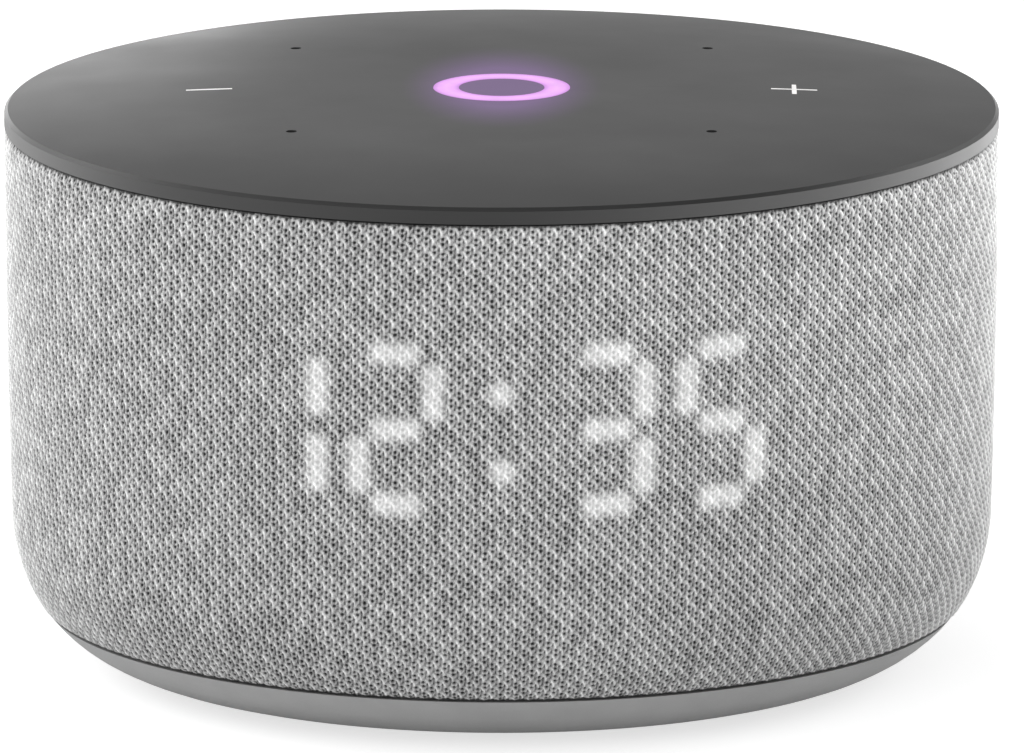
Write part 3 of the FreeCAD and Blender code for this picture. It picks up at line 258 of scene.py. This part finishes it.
def brushed_metal(name, level, roughness, tint=(1, 1, 1), stretch=(900, 900, 9000)):
    """Bare or plated metal with fine drawing marks."""
    made, tree, shader = new_material(name)
    where = place(tree)
    scaled = add_node(tree, "ShaderNodeMapping", Vector=where)
    set_inputs(scaled, {"Scale": stretch})
    marks = noise(tree, scaled.outputs["Vector"], 1.0, detail=4.0)
    stains = noise(tree, where, 300.0)
    stops = [(0.25, grey(level * 0.85, tint)), (0.75, grey(level, tint))]
    tree.links.new(ramp(tree, stains, stops), shader.inputs["Base Color"])
    gloss = spread(tree, marks, roughness - 0.1, roughness + 0.12, *NOISE_RANGE)
    tree.links.new(gloss, shader.inputs["Roughness"])
    set_inputs(shader, {"Metallic": 1.0})
    bump(tree, shader, marks, 0.004 * MM)
    return made


def soft_rubber(name, level, roughness=0.75):
    """Rubber or foam: matt, with a fine skin and some dusty patches."""
    made, tree, shader = new_material(name)
    where = place(tree)
    dust = noise(tree, where, 90.0, detail=5.0)
    skin = noise(tree, where, 3800.0, detail=3.0)
    stops = [(0.35, grey(level)), (0.75, grey(level * 1.7))]
    tree.links.new(ramp(tree, dust, stops), shader.inputs["Base Color"])
    tree.links.new(spread(tree, skin, roughness - 0.08, roughness + 0.08), shader.inputs["Roughness"])
    set_inputs(shader, {"Specular IOR Level": 0.3})
    bump(tree, shader, skin, 0.03 * MM, 0.7)
    return made


def circuit_board(name):
    """Green solder mask over faint copper tracks."""
    made, tree, shader = new_material(name)
    where = place(tree)
    tracks = add_node(tree, "ShaderNodeTexBrick", Vector=where, Scale=420.0)
    set_inputs(tracks, {"Mortar Size": 0.03, "Color1": grey(0.0), "Color2": grey(0.35), "Mortar": grey(1.0)})
    stops = [(0.0, (0.004, 0.05, 0.02, 1)), (1.0, (0.02, 0.14, 0.05, 1))]
    tree.links.new(ramp(tree, tracks.outputs["Color"], stops), shader.inputs["Base Color"])
    set_inputs(shader, {"Roughness": 0.35, "Coat Weight": 0.4})
    bump(tree, shader, tracks.outputs["Fac"], 0.01 * MM, 0.4)
    return made


def speckled_sheet(name, level, tint, roughness, scale=2500.0):
    """Paper, cloth or film: fibrous speckles over an even colour."""
    made, tree, shader = new_material(name)
    where = place(tree)
    fibres = noise(tree, where, scale, detail=6.0, roughness=0.7)
    stops = [(0.35, grey(level * 0.75, tint)), (0.65, grey(level * 1.15, tint))]
    tree.links.new(ramp(tree, fibres, stops), shader.inputs["Base Color"])
    gloss = spread(tree, fibres, roughness - 0.1, roughness + 0.1, *NOISE_RANGE)
    tree.links.new(gloss, shader.inputs["Roughness"])
    bump(tree, shader, fibres, 0.02 * MM, 0.6)
    return made


def wound_copper(name):
    """Enamelled wire wound round the coil former."""
    made, tree, shader = new_material(name)
    where = place(tree)
    turns = add_node(tree, "ShaderNodeTexWave", {"bands_direction": "Z"}, Vector=where, Scale=1600.0)
    stops = [(0.0, (0.25, 0.07, 0.02, 1)), (1.0, (0.75, 0.3, 0.13, 1))]
    tree.links.new(ramp(tree, turns.outputs["Fac"], stops), shader.inputs["Base Color"])
    set_inputs(shader, {"Metallic": 1.0, "Roughness": 0.35})
    bump(tree, shader, turns.outputs["Fac"], 0.05 * MM)
    return made


def from_axis(tree, where, stretch=(1.0, 1.0, 0.0)):
    """Distance from the body's upright axis in metres, with each direction counted by `stretch`."""
    flat = add_node(tree, "ShaderNodeVectorMath", {"operation": "MULTIPLY"})
    tree.links.new(where, flat.inputs[0])
    flat.inputs[1].default_value = stretch
    length = add_node(tree, "ShaderNodeVectorMath", {"operation": "LENGTH"})
    tree.links.new(flat.outputs["Vector"], length.inputs[0])
    return length.outputs["Value"]


def touch_panel(name):
    """Dark satin panel that passes a little of the ring's light round the ring."""
    made, tree, shader = new_material(name)
    where = place(tree)
    fine = noise(tree, where, 7000.0, detail=2.0)
    wiped = noise(tree, where, 60.0, detail=5.0)
    stops = [(0.3, grey(0.013)), (0.7, grey(0.016))]
    tree.links.new(ramp(tree, wiped, stops), shader.inputs["Base Color"])
    tree.links.new(spread(tree, wiped, 0.40, 0.46, *NOISE_RANGE), shader.inputs["Roughness"])
    set_inputs(shader, {"Specular IOR Level": 0.45})
    bump(tree, shader, fine, 0.006 * MM, 0.5)
    radius = from_axis(tree, where, HALO_STRETCH)
    near = spread(tree, radius, 1.0, 0.0, RING_OUTER * HALO_START, RING_OUTER + HALO_REACH)
    halo = compute(tree, "POWER", near, HALO_FALL)
    set_inputs(shader, {"Emission Color": (0.62, 0.27, 0.95, 1.0)})
    tree.links.new(compute(tree, "MULTIPLY", halo, HALO_STRENGTH), shader.inputs["Emission Strength"])
    return made


def ring_light(name):
    """Milky insert, lit from below: nearly white along its middle, lilac at both edges."""
    made, tree, shader = new_material(name)
    where = place(tree)
    middle = (RING_OUTER + RING_INNER) / 2
    off = compute(tree, "ABSOLUTE", compute(tree, "SUBTRACT", from_axis(tree, where), middle))
    share = spread(tree, off, 0.0, 1.0, 0.0, (RING_OUTER - RING_INNER) / 2)
    uneven = noise(tree, where, 420.0, detail=2.0)
    stops = [(0.0, (0.78, 0.38, 0.84, 1)), (0.6, (0.74, 0.32, 0.82, 1)), (1.0, (0.50, 0.18, 0.62, 1))]
    tree.links.new(ramp(tree, share, stops), shader.inputs["Emission Color"])
    tree.links.new(spread(tree, uneven, 0.92, 1.06, *NOISE_RANGE), shader.inputs["Emission Strength"])
    set_inputs(shader, {"Base Color": (0.08, 0.06, 0.09, 1), "Roughness": 0.4, "Specular IOR Level": 0.25})
    return made


def mark_light(name):
    """Clear insert with an even white light under it."""
    made, tree, shader = new_material(name)
    uneven = noise(tree, place(tree), 900.0, detail=1.0)
    tree.links.new(spread(tree, uneven, 0.68, 0.84, *NOISE_RANGE), shader.inputs["Emission Strength"])
    set_inputs(shader, {"Base Color": grey(0.1), "Roughness": 0.35, "Emission Color": (1, 0.98, 0.97, 1),
                        "Specular IOR Level": 0.25})
    return made


def knit(name):
    """Melange yarn with painted shade from the relief: light crowns, shaded flanks and dark holes, and white
    light where the clock is lit.
    """
    made, tree, shader = new_material(name)
    where = place(tree)
    # the thread height carries painted shade, dark in the holes and where the cloth goes under
    depth = attribute(tree, "thread")
    tone = attribute(tree, "tone")
    fibres = noise(tree, where, 9000.0, detail=4.0, roughness=0.65)
    patches = noise(tree, where, 55.0, detail=3.0)
    shade = compute(tree, "ADD", depth, spread(tree, tone, -0.08, 0.08))
    shade = compute(tree, "ADD", shade, spread(tree, fibres, -0.14, 0.14, *NOISE_RANGE))
    shade = compute(tree, "ADD", shade, spread(tree, patches, -0.02, 0.02, *NOISE_RANGE))
    stops = [(height, grey(level)) for height, level in YARN_SHADES]
    tree.links.new(ramp(tree, shade, stops), shader.inputs["Base Color"])
    set_inputs(shader, {"Roughness": 0.85, "Sheen Weight": 0.05, "Sheen Roughness": 0.5,
                        "Specular IOR Level": 0.2, "Emission Color": (1, 1, 1, 1)})
    through = spread(tree, shade, *CLOCK_STRENGTH)
    light = compute(tree, "MULTIPLY", attribute(tree, "glow"), through)
    tree.links.new(light, shader.inputs["Emission Strength"])
    bump(tree, shader, fibres, 0.03 * MM, 0.6)
    return made


def slot_materials():
    """One material for each of the record's material slots."""
    return {
        "cap": touch_panel("touch_panel_satin"),
        "ring_light": ring_light("ring_light_lilac"),
        "mark_light": mark_light("mark_light_white"),
        "grille_plastic": moulded_plastic("grille_black", 0.02, 0.6),
        # the base is darkened towards its foot by painted shade
        "base_plastic": moulded_plastic("base_grey", 0.33, 0.55, grain=4200.0, specular=0.4, foot=0.72),
        "pad_rubber": soft_rubber("pad_rubber_grey", 0.05),
        "bezel_plastic": moulded_plastic("bezel_grey", 0.23, 0.5, grain=6000.0),
        "slider_plastic": moulded_plastic("slider_grey", 0.12, 0.45, grain=8000.0),
        "steel": brushed_metal("steel_drawn", 0.62, 0.3),
        "black_plastic": moulded_plastic("black_moulding", 0.015, 0.45),
        "white_plastic": moulded_plastic("white_moulding", 0.7, 0.5),
        "circuit_board": circuit_board("circuit_board_green"),
        "led_package": moulded_plastic("led_package_white", 0.75, 0.35),
        "soft_seal": soft_rubber("seal_foam", 0.03, 0.85),
        "aluminium": brushed_metal("aluminium_rolled", 0.8, 0.35),
        "box_plastic": moulded_plastic("box_black", 0.025, 0.55),
        "magnet": moulded_plastic("magnet_ferrite", 0.06, 0.5, tint=(1.0, 0.97, 0.95)),
        "zinc_steel": brushed_metal("steel_zinc", 0.6, 0.38, tint=(0.96, 0.98, 1.0)),
        "cone_paper": speckled_sheet("cone_paper_black", 0.04, (1, 1, 1), 0.8),
        "copper": wound_copper("copper_wire"),
        "surround_rubber": soft_rubber("surround_rubber_black", 0.02, 0.6),
        "spider_cloth": speckled_sheet("spider_cloth_tan", 0.4, (1.0, 0.75, 0.4), 0.85),
        "film": speckled_sheet("diffuser_film", 0.75, (1, 1, 1), 0.5, 900.0),
        "ribbon_film": speckled_sheet("ribbon_amber", 0.35, (1.0, 0.55, 0.15), 0.35, 600.0),
    }


def paint_frame():
    """Every CAD node takes the finished material of its slot."""
    finished = slot_materials()
    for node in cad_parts.values():
        for slot in node.material_slots:
            if slot.material.name in finished:
                slot.material = finished[slot.material.name]


# ================================================================ knitted sleeve
def run_along(radius, height):
    """Distance travelled from the first point of a section to each of its points."""
    return np.concatenate([[0.0], np.cumsum(np.hypot(np.diff(radius), np.diff(height)))])


def skin_outline():
    """The sleeve's section from its top edge down: radius, height and slope at even steps."""
    arcs = ((BARREL_ARC, 0.0, BARREL_SWEEP),
            (SHOULDER_ARC, BARREL_SWEEP, BARREL_SWEEP + SHOULDER_SWEEP),
            (FOOT_ARC, BARREL_SWEEP + SHOULDER_SWEEP, math.pi / 2))
    centre = np.array([SKIN_RADIUS - BARREL_ARC, SKIN_START_Z])
    radii, heights, slopes = [], [], []
    previous = None
    for reach, start, end in arcs:
        if previous is not None:
            centre = centre + (previous - reach) * np.array([math.cos(start), -math.sin(start)])
        angles = np.linspace(start, end, ARC_STEPS)
        radii.append(centre[0] + reach * np.cos(angles))
        heights.append(centre[1] - reach * np.sin(angles))
        slopes.append(angles)
        previous = reach
    radius, height, slope = (np.concatenate(parts) for parts in (radii, heights, slopes))
    kept = (height <= SLEEVE_HIGH.z) & (height >= SLEEVE_LOW.z)
    radius, height, slope = radius[kept], height[kept], slope[kept]
    run = run_along(radius, height)
    courses = round(run[-1] / COURSE)
    steps = np.linspace(0.0, run[-1], courses * STITCH_SAMPLES + 1)
    return [np.interp(steps, run, values) for values in (radius, height, slope)]


# One repeat holds two equal stitches, half a repeat apart both ways. A thread is a chain of
# (across, down, height) points in shares of the repeat, with its half width in millimetres.
REPEAT_WIDTH = 1.62
REPEAT_HEIGHT = 1.54
LONG_LEG = ([(0.03, 0.33, 0.58), (0.02, 0.22, 0.62), (0.08, 0.15, 0.70), (0.14, 0.17, 0.82),
             (0.20, 0.26, 1.00), (0.25, 0.37, 1.00), (0.29, 0.49, 0.98), (0.30, 0.60, 0.90),
             (0.285, 0.71, 0.78)], 0.115)
ARCH_FLOOR = ([(0.09, 0.24, 0.62), (0.08, 0.36, 0.58)], 0.16)
LEFT_PETAL = ([(0.22, 0.89, 0.74), (0.25, 0.97, 0.92), (0.29, 1.05, 0.74)], 0.10)
RIGHT_PETAL = ([(0.55, 0.89, 0.68), (0.53, 0.96, 0.86), (0.48, 1.05, 0.72)], 0.10)
LOW_LEG = ([(0.53, 0.16, 0.62), (0.52, 0.28, 0.68), (0.48, 0.41, 0.68), (0.42, 0.50, 0.60)], 0.13)
THREADS = (LONG_LEG, ARCH_FLOOR, LEFT_PETAL, RIGHT_PETAL, LOW_LEG)

# A gap between threads runs from one point to another and has a radius and a depth.
GAPS = ((0.376, 0.868, 0.376, 0.868, 0.12, 0.85), (0.36, 0.22, 0.40, 0.22, 0.13, 0.62),
        (0.15, 0.46, 0.10, 1.04, 0.085, 0.17), (0.148, 0.48, 0.14, 0.56, 0.085, 0.24),
        (0.10, 0.92, 0.10, 1.00, 0.09, 0.17), (0.46, 0.58, 0.46, 0.58, 0.08, 0.14))
GROUND = 0.53                    # height of the yarn that lies under the threads
ROUNDNESS = 0.35                 # drop from a thread's crown to its side
SIDE_FALL = 3                    # how steeply it drops beyond its side, per half width
STITCH_TONE_START = (0.13, 0.865)     # where the tile of one yarn tone starts in the repeat
SPARE_COURSES = 2                # tones kept ready beyond both edges
TINY = 1e-9                      # keeps a line with no length from dividing by 0
REPEAT_SAMPLES = 72              # fineness of the pattern that the mesh points are read from
WANDER = 0.028                   # how far stitches stray from their place, in shares of the repeat


def pattern_moves():
    """Where the pattern repeats near one repeat, in shares of the repeat."""
    for half in (0.0, 0.5):
        for step_u in (-1, 0, 1):
            for step_v in (-2, -1, 0, 1):
                yield step_u + half, step_v + half


def along_line(across, down, start, end):
    """For every sample, its share of the way along a line and its distance from it."""
    line_u = (end[0] - start[0]) * REPEAT_WIDTH
    line_v = (end[1] - start[1]) * REPEAT_HEIGHT
    from_u = across - start[0] * REPEAT_WIDTH
    from_v = down - start[1] * REPEAT_HEIGHT
    length = max(line_u ** 2 + line_v ** 2, TINY)
    share = np.clip((from_u * line_u + from_v * line_v) / length, 0, 1)
    return share, np.hypot(from_u - share * line_u, from_v - share * line_v)


def thread_height(across, down, start, end, half_width):
    """Height of one straight piece of round thread over the samples, and far below elsewhere."""
    share, distance = along_line(across, down, start, end)
    off = distance / half_width
    crown = start[2] + (end[2] - start[2]) * share
    flank = ROUNDNESS * (1 - np.sqrt(np.clip(1 - off ** 2, 0, 1)))
    return crown - (flank + SIDE_FALL * np.clip(off - 1, 0, None))


def moved(point, move):
    """A point of the pattern, shifted by a move; its height stays."""
    return (point[0] + move[0], point[1] + move[1], *point[2:])


def knit_repeat():
    """Heights over one repeat of the knit, from 0 in a hole to 1 on a crown."""
    samples = np.arange(REPEAT_SAMPLES) / REPEAT_SAMPLES
    across, down = np.meshgrid(samples * REPEAT_WIDTH, samples * REPEAT_HEIGHT)
    height = np.full(across.shape, GROUND)
    for move in pattern_moves():
        for chain, half_width in THREADS:
            for start, end in zip(chain, chain[1:]):
                thread = thread_height(across, down, moved(start, move), moved(end, move), half_width)
                height = np.maximum(height, thread)
    for move in pattern_moves():
        for start_u, start_v, end_u, end_v, radius, depth in GAPS:
            start, end = moved((start_u, start_v), move), moved((end_u, end_v), move)
            _, distance = along_line(across, down, start, end)
            height = height - depth * np.exp(-(distance / radius) ** 2)
    return np.clip(height, 0.0, 1.0)


def wander(rows, columns, random):
    """A smooth random field, with a new value every half stitch, that closes on itself sideways."""
    step = STITCH_SAMPLES // 2
    coarse = random.normal(0.0, WANDER, (rows // step + 2, columns // step))
    row, row_share = np.divmod(np.arange(rows) / step, 1)
    column, column_share = np.divmod(np.arange(columns) / step, 1)
    row, column = row.astype(int), column.astype(int)
    after = (column + 1) % (columns // step)
    upper = coarse[row][:, column] * (1 - column_share) + coarse[row][:, after] * column_share
    lower = coarse[row + 1][:, column] * (1 - column_share) + coarse[row + 1][:, after] * column_share
    return upper * (1 - row_share[:, None]) + lower * row_share[:, None]


def knit_pattern(rows, columns, random):
    """Heights of the knit at every mesh point, with its stitches a little out of place."""
    repeat = knit_repeat()
    across = np.arange(columns)[None] / STITCH_SAMPLES + wander(rows, columns, random)
    down = np.arange(rows)[:, None] / STITCH_SAMPLES + wander(rows, columns, random)
    column = np.floor(across * REPEAT_SAMPLES).astype(int) % REPEAT_SAMPLES
    row = np.floor(down * REPEAT_SAMPLES).astype(int) % REPEAT_SAMPLES
    return repeat[row, column]


def smooth_step(value):
    """The value kept between 0 and 1, with a soft start and end."""
    share = np.clip(value, 0.0, 1.0)
    return share * share * (3 - 2 * share)


def bar_distance(x, z, middle_x, middle_z, half_x, half_z):
    """Distance outside a bar with rounded ends; negative inside it."""
    round_by = min(half_x, half_z) * BAR_ROUNDNESS
    out_x = np.abs(x - middle_x) - half_x + round_by
    out_z = np.abs(z - middle_z) - half_z + round_by
    outside = np.hypot(np.maximum(out_x, 0), np.maximum(out_z, 0))
    return outside + np.minimum(np.maximum(out_x, out_z), 0) - round_by


def digit_bars(centre):
    """Middle and half size of the seven bars of a digit, by their usual letters."""
    flat = (FLAT_BAR_HALF, BAR_HALF_WIDTH)
    upright = (BAR_HALF_WIDTH, UPRIGHT_BAR_HALF)
    side = DIGIT_HALF_WIDTH
    quarter = DIGIT_HALF_HEIGHT / 2
    middles = {"a": (0, 2 * quarter), "g": (0, 0), "d": (0, -2 * quarter),
               "b": (side, quarter), "c": (side, -quarter),
               "f": (-side, quarter), "e": (-side, -quarter)}
    return {letter: (centre + x, DIGIT_MIDDLE_Z + z, *(flat if letter in "agd" else upright))
            for letter, (x, z) in middles.items()}


def clock_light(x, y, z):
    """How strongly the clock shines through each point of the fabric, from 0 to 1."""
    around = np.arctan2(x, -y) * SKIN_RADIUS
    nearest = np.full(x.shape, FAR)
    for digit, centre in zip(CLOCK, DIGIT_CENTRES):
        bars = digit_bars(centre)
        for letter in SEGMENTS_LIT[digit]:
            nearest = np.minimum(nearest, bar_distance(around, z, *bars[letter]))
    for height in COLON_HEIGHTS:
        nearest = np.minimum(nearest, np.hypot(around, z - height) - COLON_RADIUS)
    light = smooth_step(0.5 - nearest / GLOW_BLUR)
    return np.where(y < 0, light, 0.0)


def grid_mesh(name, points, kept, numbers):
    """A mesh from a grid of points that closes on itself sideways."""
    rows, columns = points.shape[:2]
    index = np.arange(rows * columns).reshape(rows, columns)
    right = np.roll(index, -1, axis=1)
    corners = np.stack([index[1:], right[1:], right[:-1], index[:-1]], axis=-1)[kept].reshape(-1, 4)
    used = np.zeros(rows * columns, bool)
    used[corners.ravel()] = True
    renumber = np.cumsum(used) - 1
    mesh = bpy.data.meshes.new(name)
    mesh.vertices.add(int(used.sum()))
    mesh.vertices.foreach_set("co", points.reshape(-1, 3)[used].astype(np.float32).ravel())
    mesh.loops.add(corners.size)
    mesh.loops.foreach_set("vertex_index", renumber[corners].astype(np.int32).ravel())
    mesh.polygons.add(len(corners))
    mesh.polygons.foreach_set("loop_start", np.arange(0, corners.size, 4, dtype=np.int32))
    mesh.update(calc_edges=True)
    mesh.shade_smooth()
    for label, values in numbers.items():
        layer = mesh.attributes.new(label, "FLOAT", "POINT")
        layer.data.foreach_set("value", values.ravel()[used].astype(np.float32))
    bake_map(mesh, rows, columns, kept)
    return mesh


def bake_map(mesh, rows, columns, kept):
    """Unrolls the sleeve into strips laid one above the other, as a map for its textures."""
    row, column = np.meshgrid(np.arange(rows - 1), np.arange(columns), indexing="ij")
    width = columns / BAKE_STRIPS
    strip = np.minimum(column // width, BAKE_STRIPS - 1)
    places = []
    for down, right in ((1, 0), (1, 1), (0, 1), (0, 0)):
        across = (column + right - strip * width) / width
        along = (row + down) / (rows - 1)
        u = BAKE_GAP + across * (1 - 2 * BAKE_GAP)
        v = (strip + BAKE_GAP + (1 - along) * (1 - 2 * BAKE_GAP)) / BAKE_STRIPS
        places.append(np.stack([u, v], axis=-1))
    corners = np.stack(places, axis=2)[kept]
    layer = mesh.uv_layers.new(name="OFBake")
    layer.uv.foreach_set("vector", corners.astype(np.float32).ravel())


def stitch_tones(rows, columns, random):
    """A brightness for every stitch, spread over the samples that the stitch covers."""
    row, column = np.meshgrid(np.arange(rows), np.arange(columns), indexing="ij")
    start_u, start_v = STITCH_TONE_START
    half_wale = np.floor(2 * (column / STITCH_SAMPLES - start_u)).astype(int)
    course = np.floor(row / STITCH_SAMPLES - start_v + 0.5 * (half_wale % 2)).astype(int)
    table = random.random((rows // STITCH_SAMPLES + 2 * SPARE_COURSES, 2 * WALES))
    return table[course + SPARE_COURSES, half_wale % (2 * WALES)]


def bezel_distance(x, y, z):
    """Distance outside the port panel's outline, negative inside it and far on the front half."""
    half_x = (BEZEL_HIGH.x - BEZEL_LOW.x) / 2
    half_z = (BEZEL_HIGH.z - BEZEL_LOW.z) / 2
    middle_z = (BEZEL_HIGH.z + BEZEL_LOW.z) / 2
    return np.where(y > 0, bar_distance(x, z, 0.0, middle_z, half_x, half_z), FAR)


def sleeve_mesh():
    """The knit as a mesh whose points know their thread height with painted shade at its edges, yarn tone and
    clock light.
    """
    radius, height, slope = skin_outline()
    rows, columns = len(radius), WALES * STITCH_SAMPLES
    random = np.random.default_rng(SEED)
    pattern = knit_pattern(rows, columns, random)
    tone = stitch_tones(rows, columns, random)
    turn = (np.arange(columns) + 0.5) / columns * 2 * np.pi - np.pi
    z = np.repeat(height[:, None], columns, axis=1)
    to_bezel = bezel_distance(radius[:, None] * np.sin(turn), -radius[:, None] * np.cos(turn), z)
    run = run_along(radius, height)
    to_edge = np.minimum(run, run[-1] - run)[:, None]
    free = smooth_step(np.minimum(to_edge, to_bezel + BEZEL_HOLD) / HEM_FADE)
    relief = (pattern * (1 - TONE_RELIEF + TONE_RELIEF * tone) - 1.0) * RELIEF
    lift = CROWN_LIFT + relief * (PRESSED_SHARE + (1 - PRESSED_SHARE) * free) - TUCK_DROP * (1 - free)
    outward = radius[:, None] + lift * np.cos(slope)[:, None]
    points = np.stack([outward * np.sin(turn), -outward * np.cos(turn),
                       z - lift * np.sin(slope)[:, None]], axis=-1)
    cut = to_bezel < -BEZEL_TUCK
    kept = ~(cut[:-1] & cut[1:])
    # painted shade: the thread heights are darkened near every edge where the cloth goes under
    near_edge = smooth_step(np.minimum(to_edge, to_bezel + BEZEL_TUCK) / EDGE_SHADE)
    thread = pattern * (SHADED_SHARE + (1 - SHADED_SHARE) * near_edge)
    glow = clock_light(points[..., 0], points[..., 1], points[..., 2])
    return grid_mesh("knit_sleeve", points, kept, {"thread": thread, "tone": tone, "glow": glow})


def knit_sleeve():
    """The fabric: its stitches are real relief, its edges tuck in and it is open for the port."""
    mesh = sleeve_mesh()
    mesh.materials.append(knit("knit_melange"))
    piece = bpy.data.objects.new("knit_sleeve", mesh)
    bpy.context.scene.collection.objects.link(piece)
    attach(piece, "housing")
    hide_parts("fabric_sleeve")


# ================================================================ stage
def add_floor():
    """A pale floor that glows like a light table, so the shadow under the speaker stays soft."""
    made, tree, shader = new_material("studio_floor")
    stops = [(0.3, grey(0.52)), (0.7, grey(0.54))]
    tree.links.new(ramp(tree, noise(tree, place(tree), 3.0), stops), shader.inputs["Base Color"])
    set_inputs(shader, {"Roughness": 0.9, "Specular IOR Level": 0.1, "Emission Color": grey(1.0)})
    sight = add_node(tree, "ShaderNodeLightPath").outputs["Is Camera Ray"]
    glow = spread(tree, sight, FLOOR_GLOW, FLOOR_SHOWN)
    sideways = add_node(tree, "ShaderNodeSeparateXYZ", Vector=place(tree)).outputs["X"]
    for start, end, level in FLOOR_WINGS:
        glow = compute(tree, "ADD", glow, spread(tree, sideways, 0.0, level, start, end))
    tree.links.new(glow, shader.inputs["Emission Strength"])
    corners = [(-FLOOR_REACH, -FLOOR_REACH, 0), (FLOOR_REACH, -FLOOR_REACH, 0),
               (FLOOR_REACH, FLOOR_REACH, 0), (-FLOOR_REACH, FLOOR_REACH, 0)]
    mesh = bpy.data.meshes.new("floor")
    mesh.from_pydata(corners, [], [(0, 1, 2, 3)])
    mesh.materials.append(made)
    floor = bpy.data.objects.new("floor", mesh)
    floor.location.z = cad_low.z - FLOOR_GAP
    bpy.context.scene.collection.objects.link(floor)


def add_soft_box(name, bearing, rise, distance, size, radiance):
    """A soft box that faces the speaker. Bearing 0 is behind it and 90 on its right, in degrees."""
    around, up = math.radians(bearing), math.radians(rise)
    out = Vector((math.sin(around) * math.cos(up), math.cos(around) * math.cos(up), math.sin(up)))
    light = bpy.data.lights.new(name, "AREA")
    light.shape = "RECTANGLE"
    light.size, light.size_y = size
    light.energy = radiance * math.pi * size[0] * size[1]
    lamp = bpy.data.objects.new(name, light)
    lamp.location = AIM + out * distance
    lamp.rotation_euler = out.to_track_quat("Z", "Y").to_euler()
    lamp.visible_camera = False
    bpy.context.scene.collection.objects.link(lamp)


def add_world():
    """A room that looks white to the camera, and lights the speaker from each side by its own amount."""
    world = bpy.data.worlds.new("studio")
    world.use_nodes = True
    tree = world.node_tree
    tree.nodes.clear()
    where = add_node(tree, "ShaderNodeTexCoord").outputs["Generated"]
    split = add_node(tree, "ShaderNodeSeparateXYZ", Vector=where)
    total = 0.0
    for axis, level in WALLS:
        towards = compute(tree, "MULTIPLY", split.outputs[axis], math.copysign(1.0, level))
        facing = compute(tree, "MAXIMUM", towards)
        total = compute(tree, "ADD", compute(tree, "MULTIPLY", facing, abs(level)), total)
    walls = add_node(tree, "ShaderNodeBackground", Color=grey(1.0), Strength=total)
    backdrop = add_node(tree, "ShaderNodeBackground", Color=grey(1.0), Strength=1.0)
    sight = add_node(tree, "ShaderNodeLightPath")
    mix = tree.nodes.new("ShaderNodeMixShader")
    tree.links.new(sight.outputs["Is Camera Ray"], mix.inputs[0])
    tree.links.new(walls.outputs[0], mix.inputs[1])
    tree.links.new(backdrop.outputs[0], mix.inputs[2])
    output = tree.nodes.new("ShaderNodeOutputWorld")
    tree.links.new(mix.outputs[0], output.inputs[0])
    bpy.context.scene.world = world


def add_camera():
    """The photograph's view: from the front, a little from above."""
    camera = bpy.data.cameras.new("camera")
    camera.lens = CAMERA_LENS
    camera.sensor_width = SENSOR_WIDTH
    camera.clip_end = VIEW_END
    holder = bpy.data.objects.new("camera", camera)
    back = Vector((0.0, -math.cos(CAMERA_PITCH), math.sin(CAMERA_PITCH)))
    holder.location = AIM + back * CAMERA_DISTANCE
    holder.rotation_euler = (-back).to_track_quat("-Z", "Y").to_euler()
    bpy.context.scene.collection.objects.link(holder)
    bpy.context.scene.camera = holder


def main():
    """The stage and the finished parts."""
    add_camera()
    add_world()
    add_floor()
    for box in SOFT_BOXES:
        add_soft_box(*box)
    bpy.context.scene.view_settings.view_transform = "Standard"
    paint_frame()
    knit_sleeve()


main()
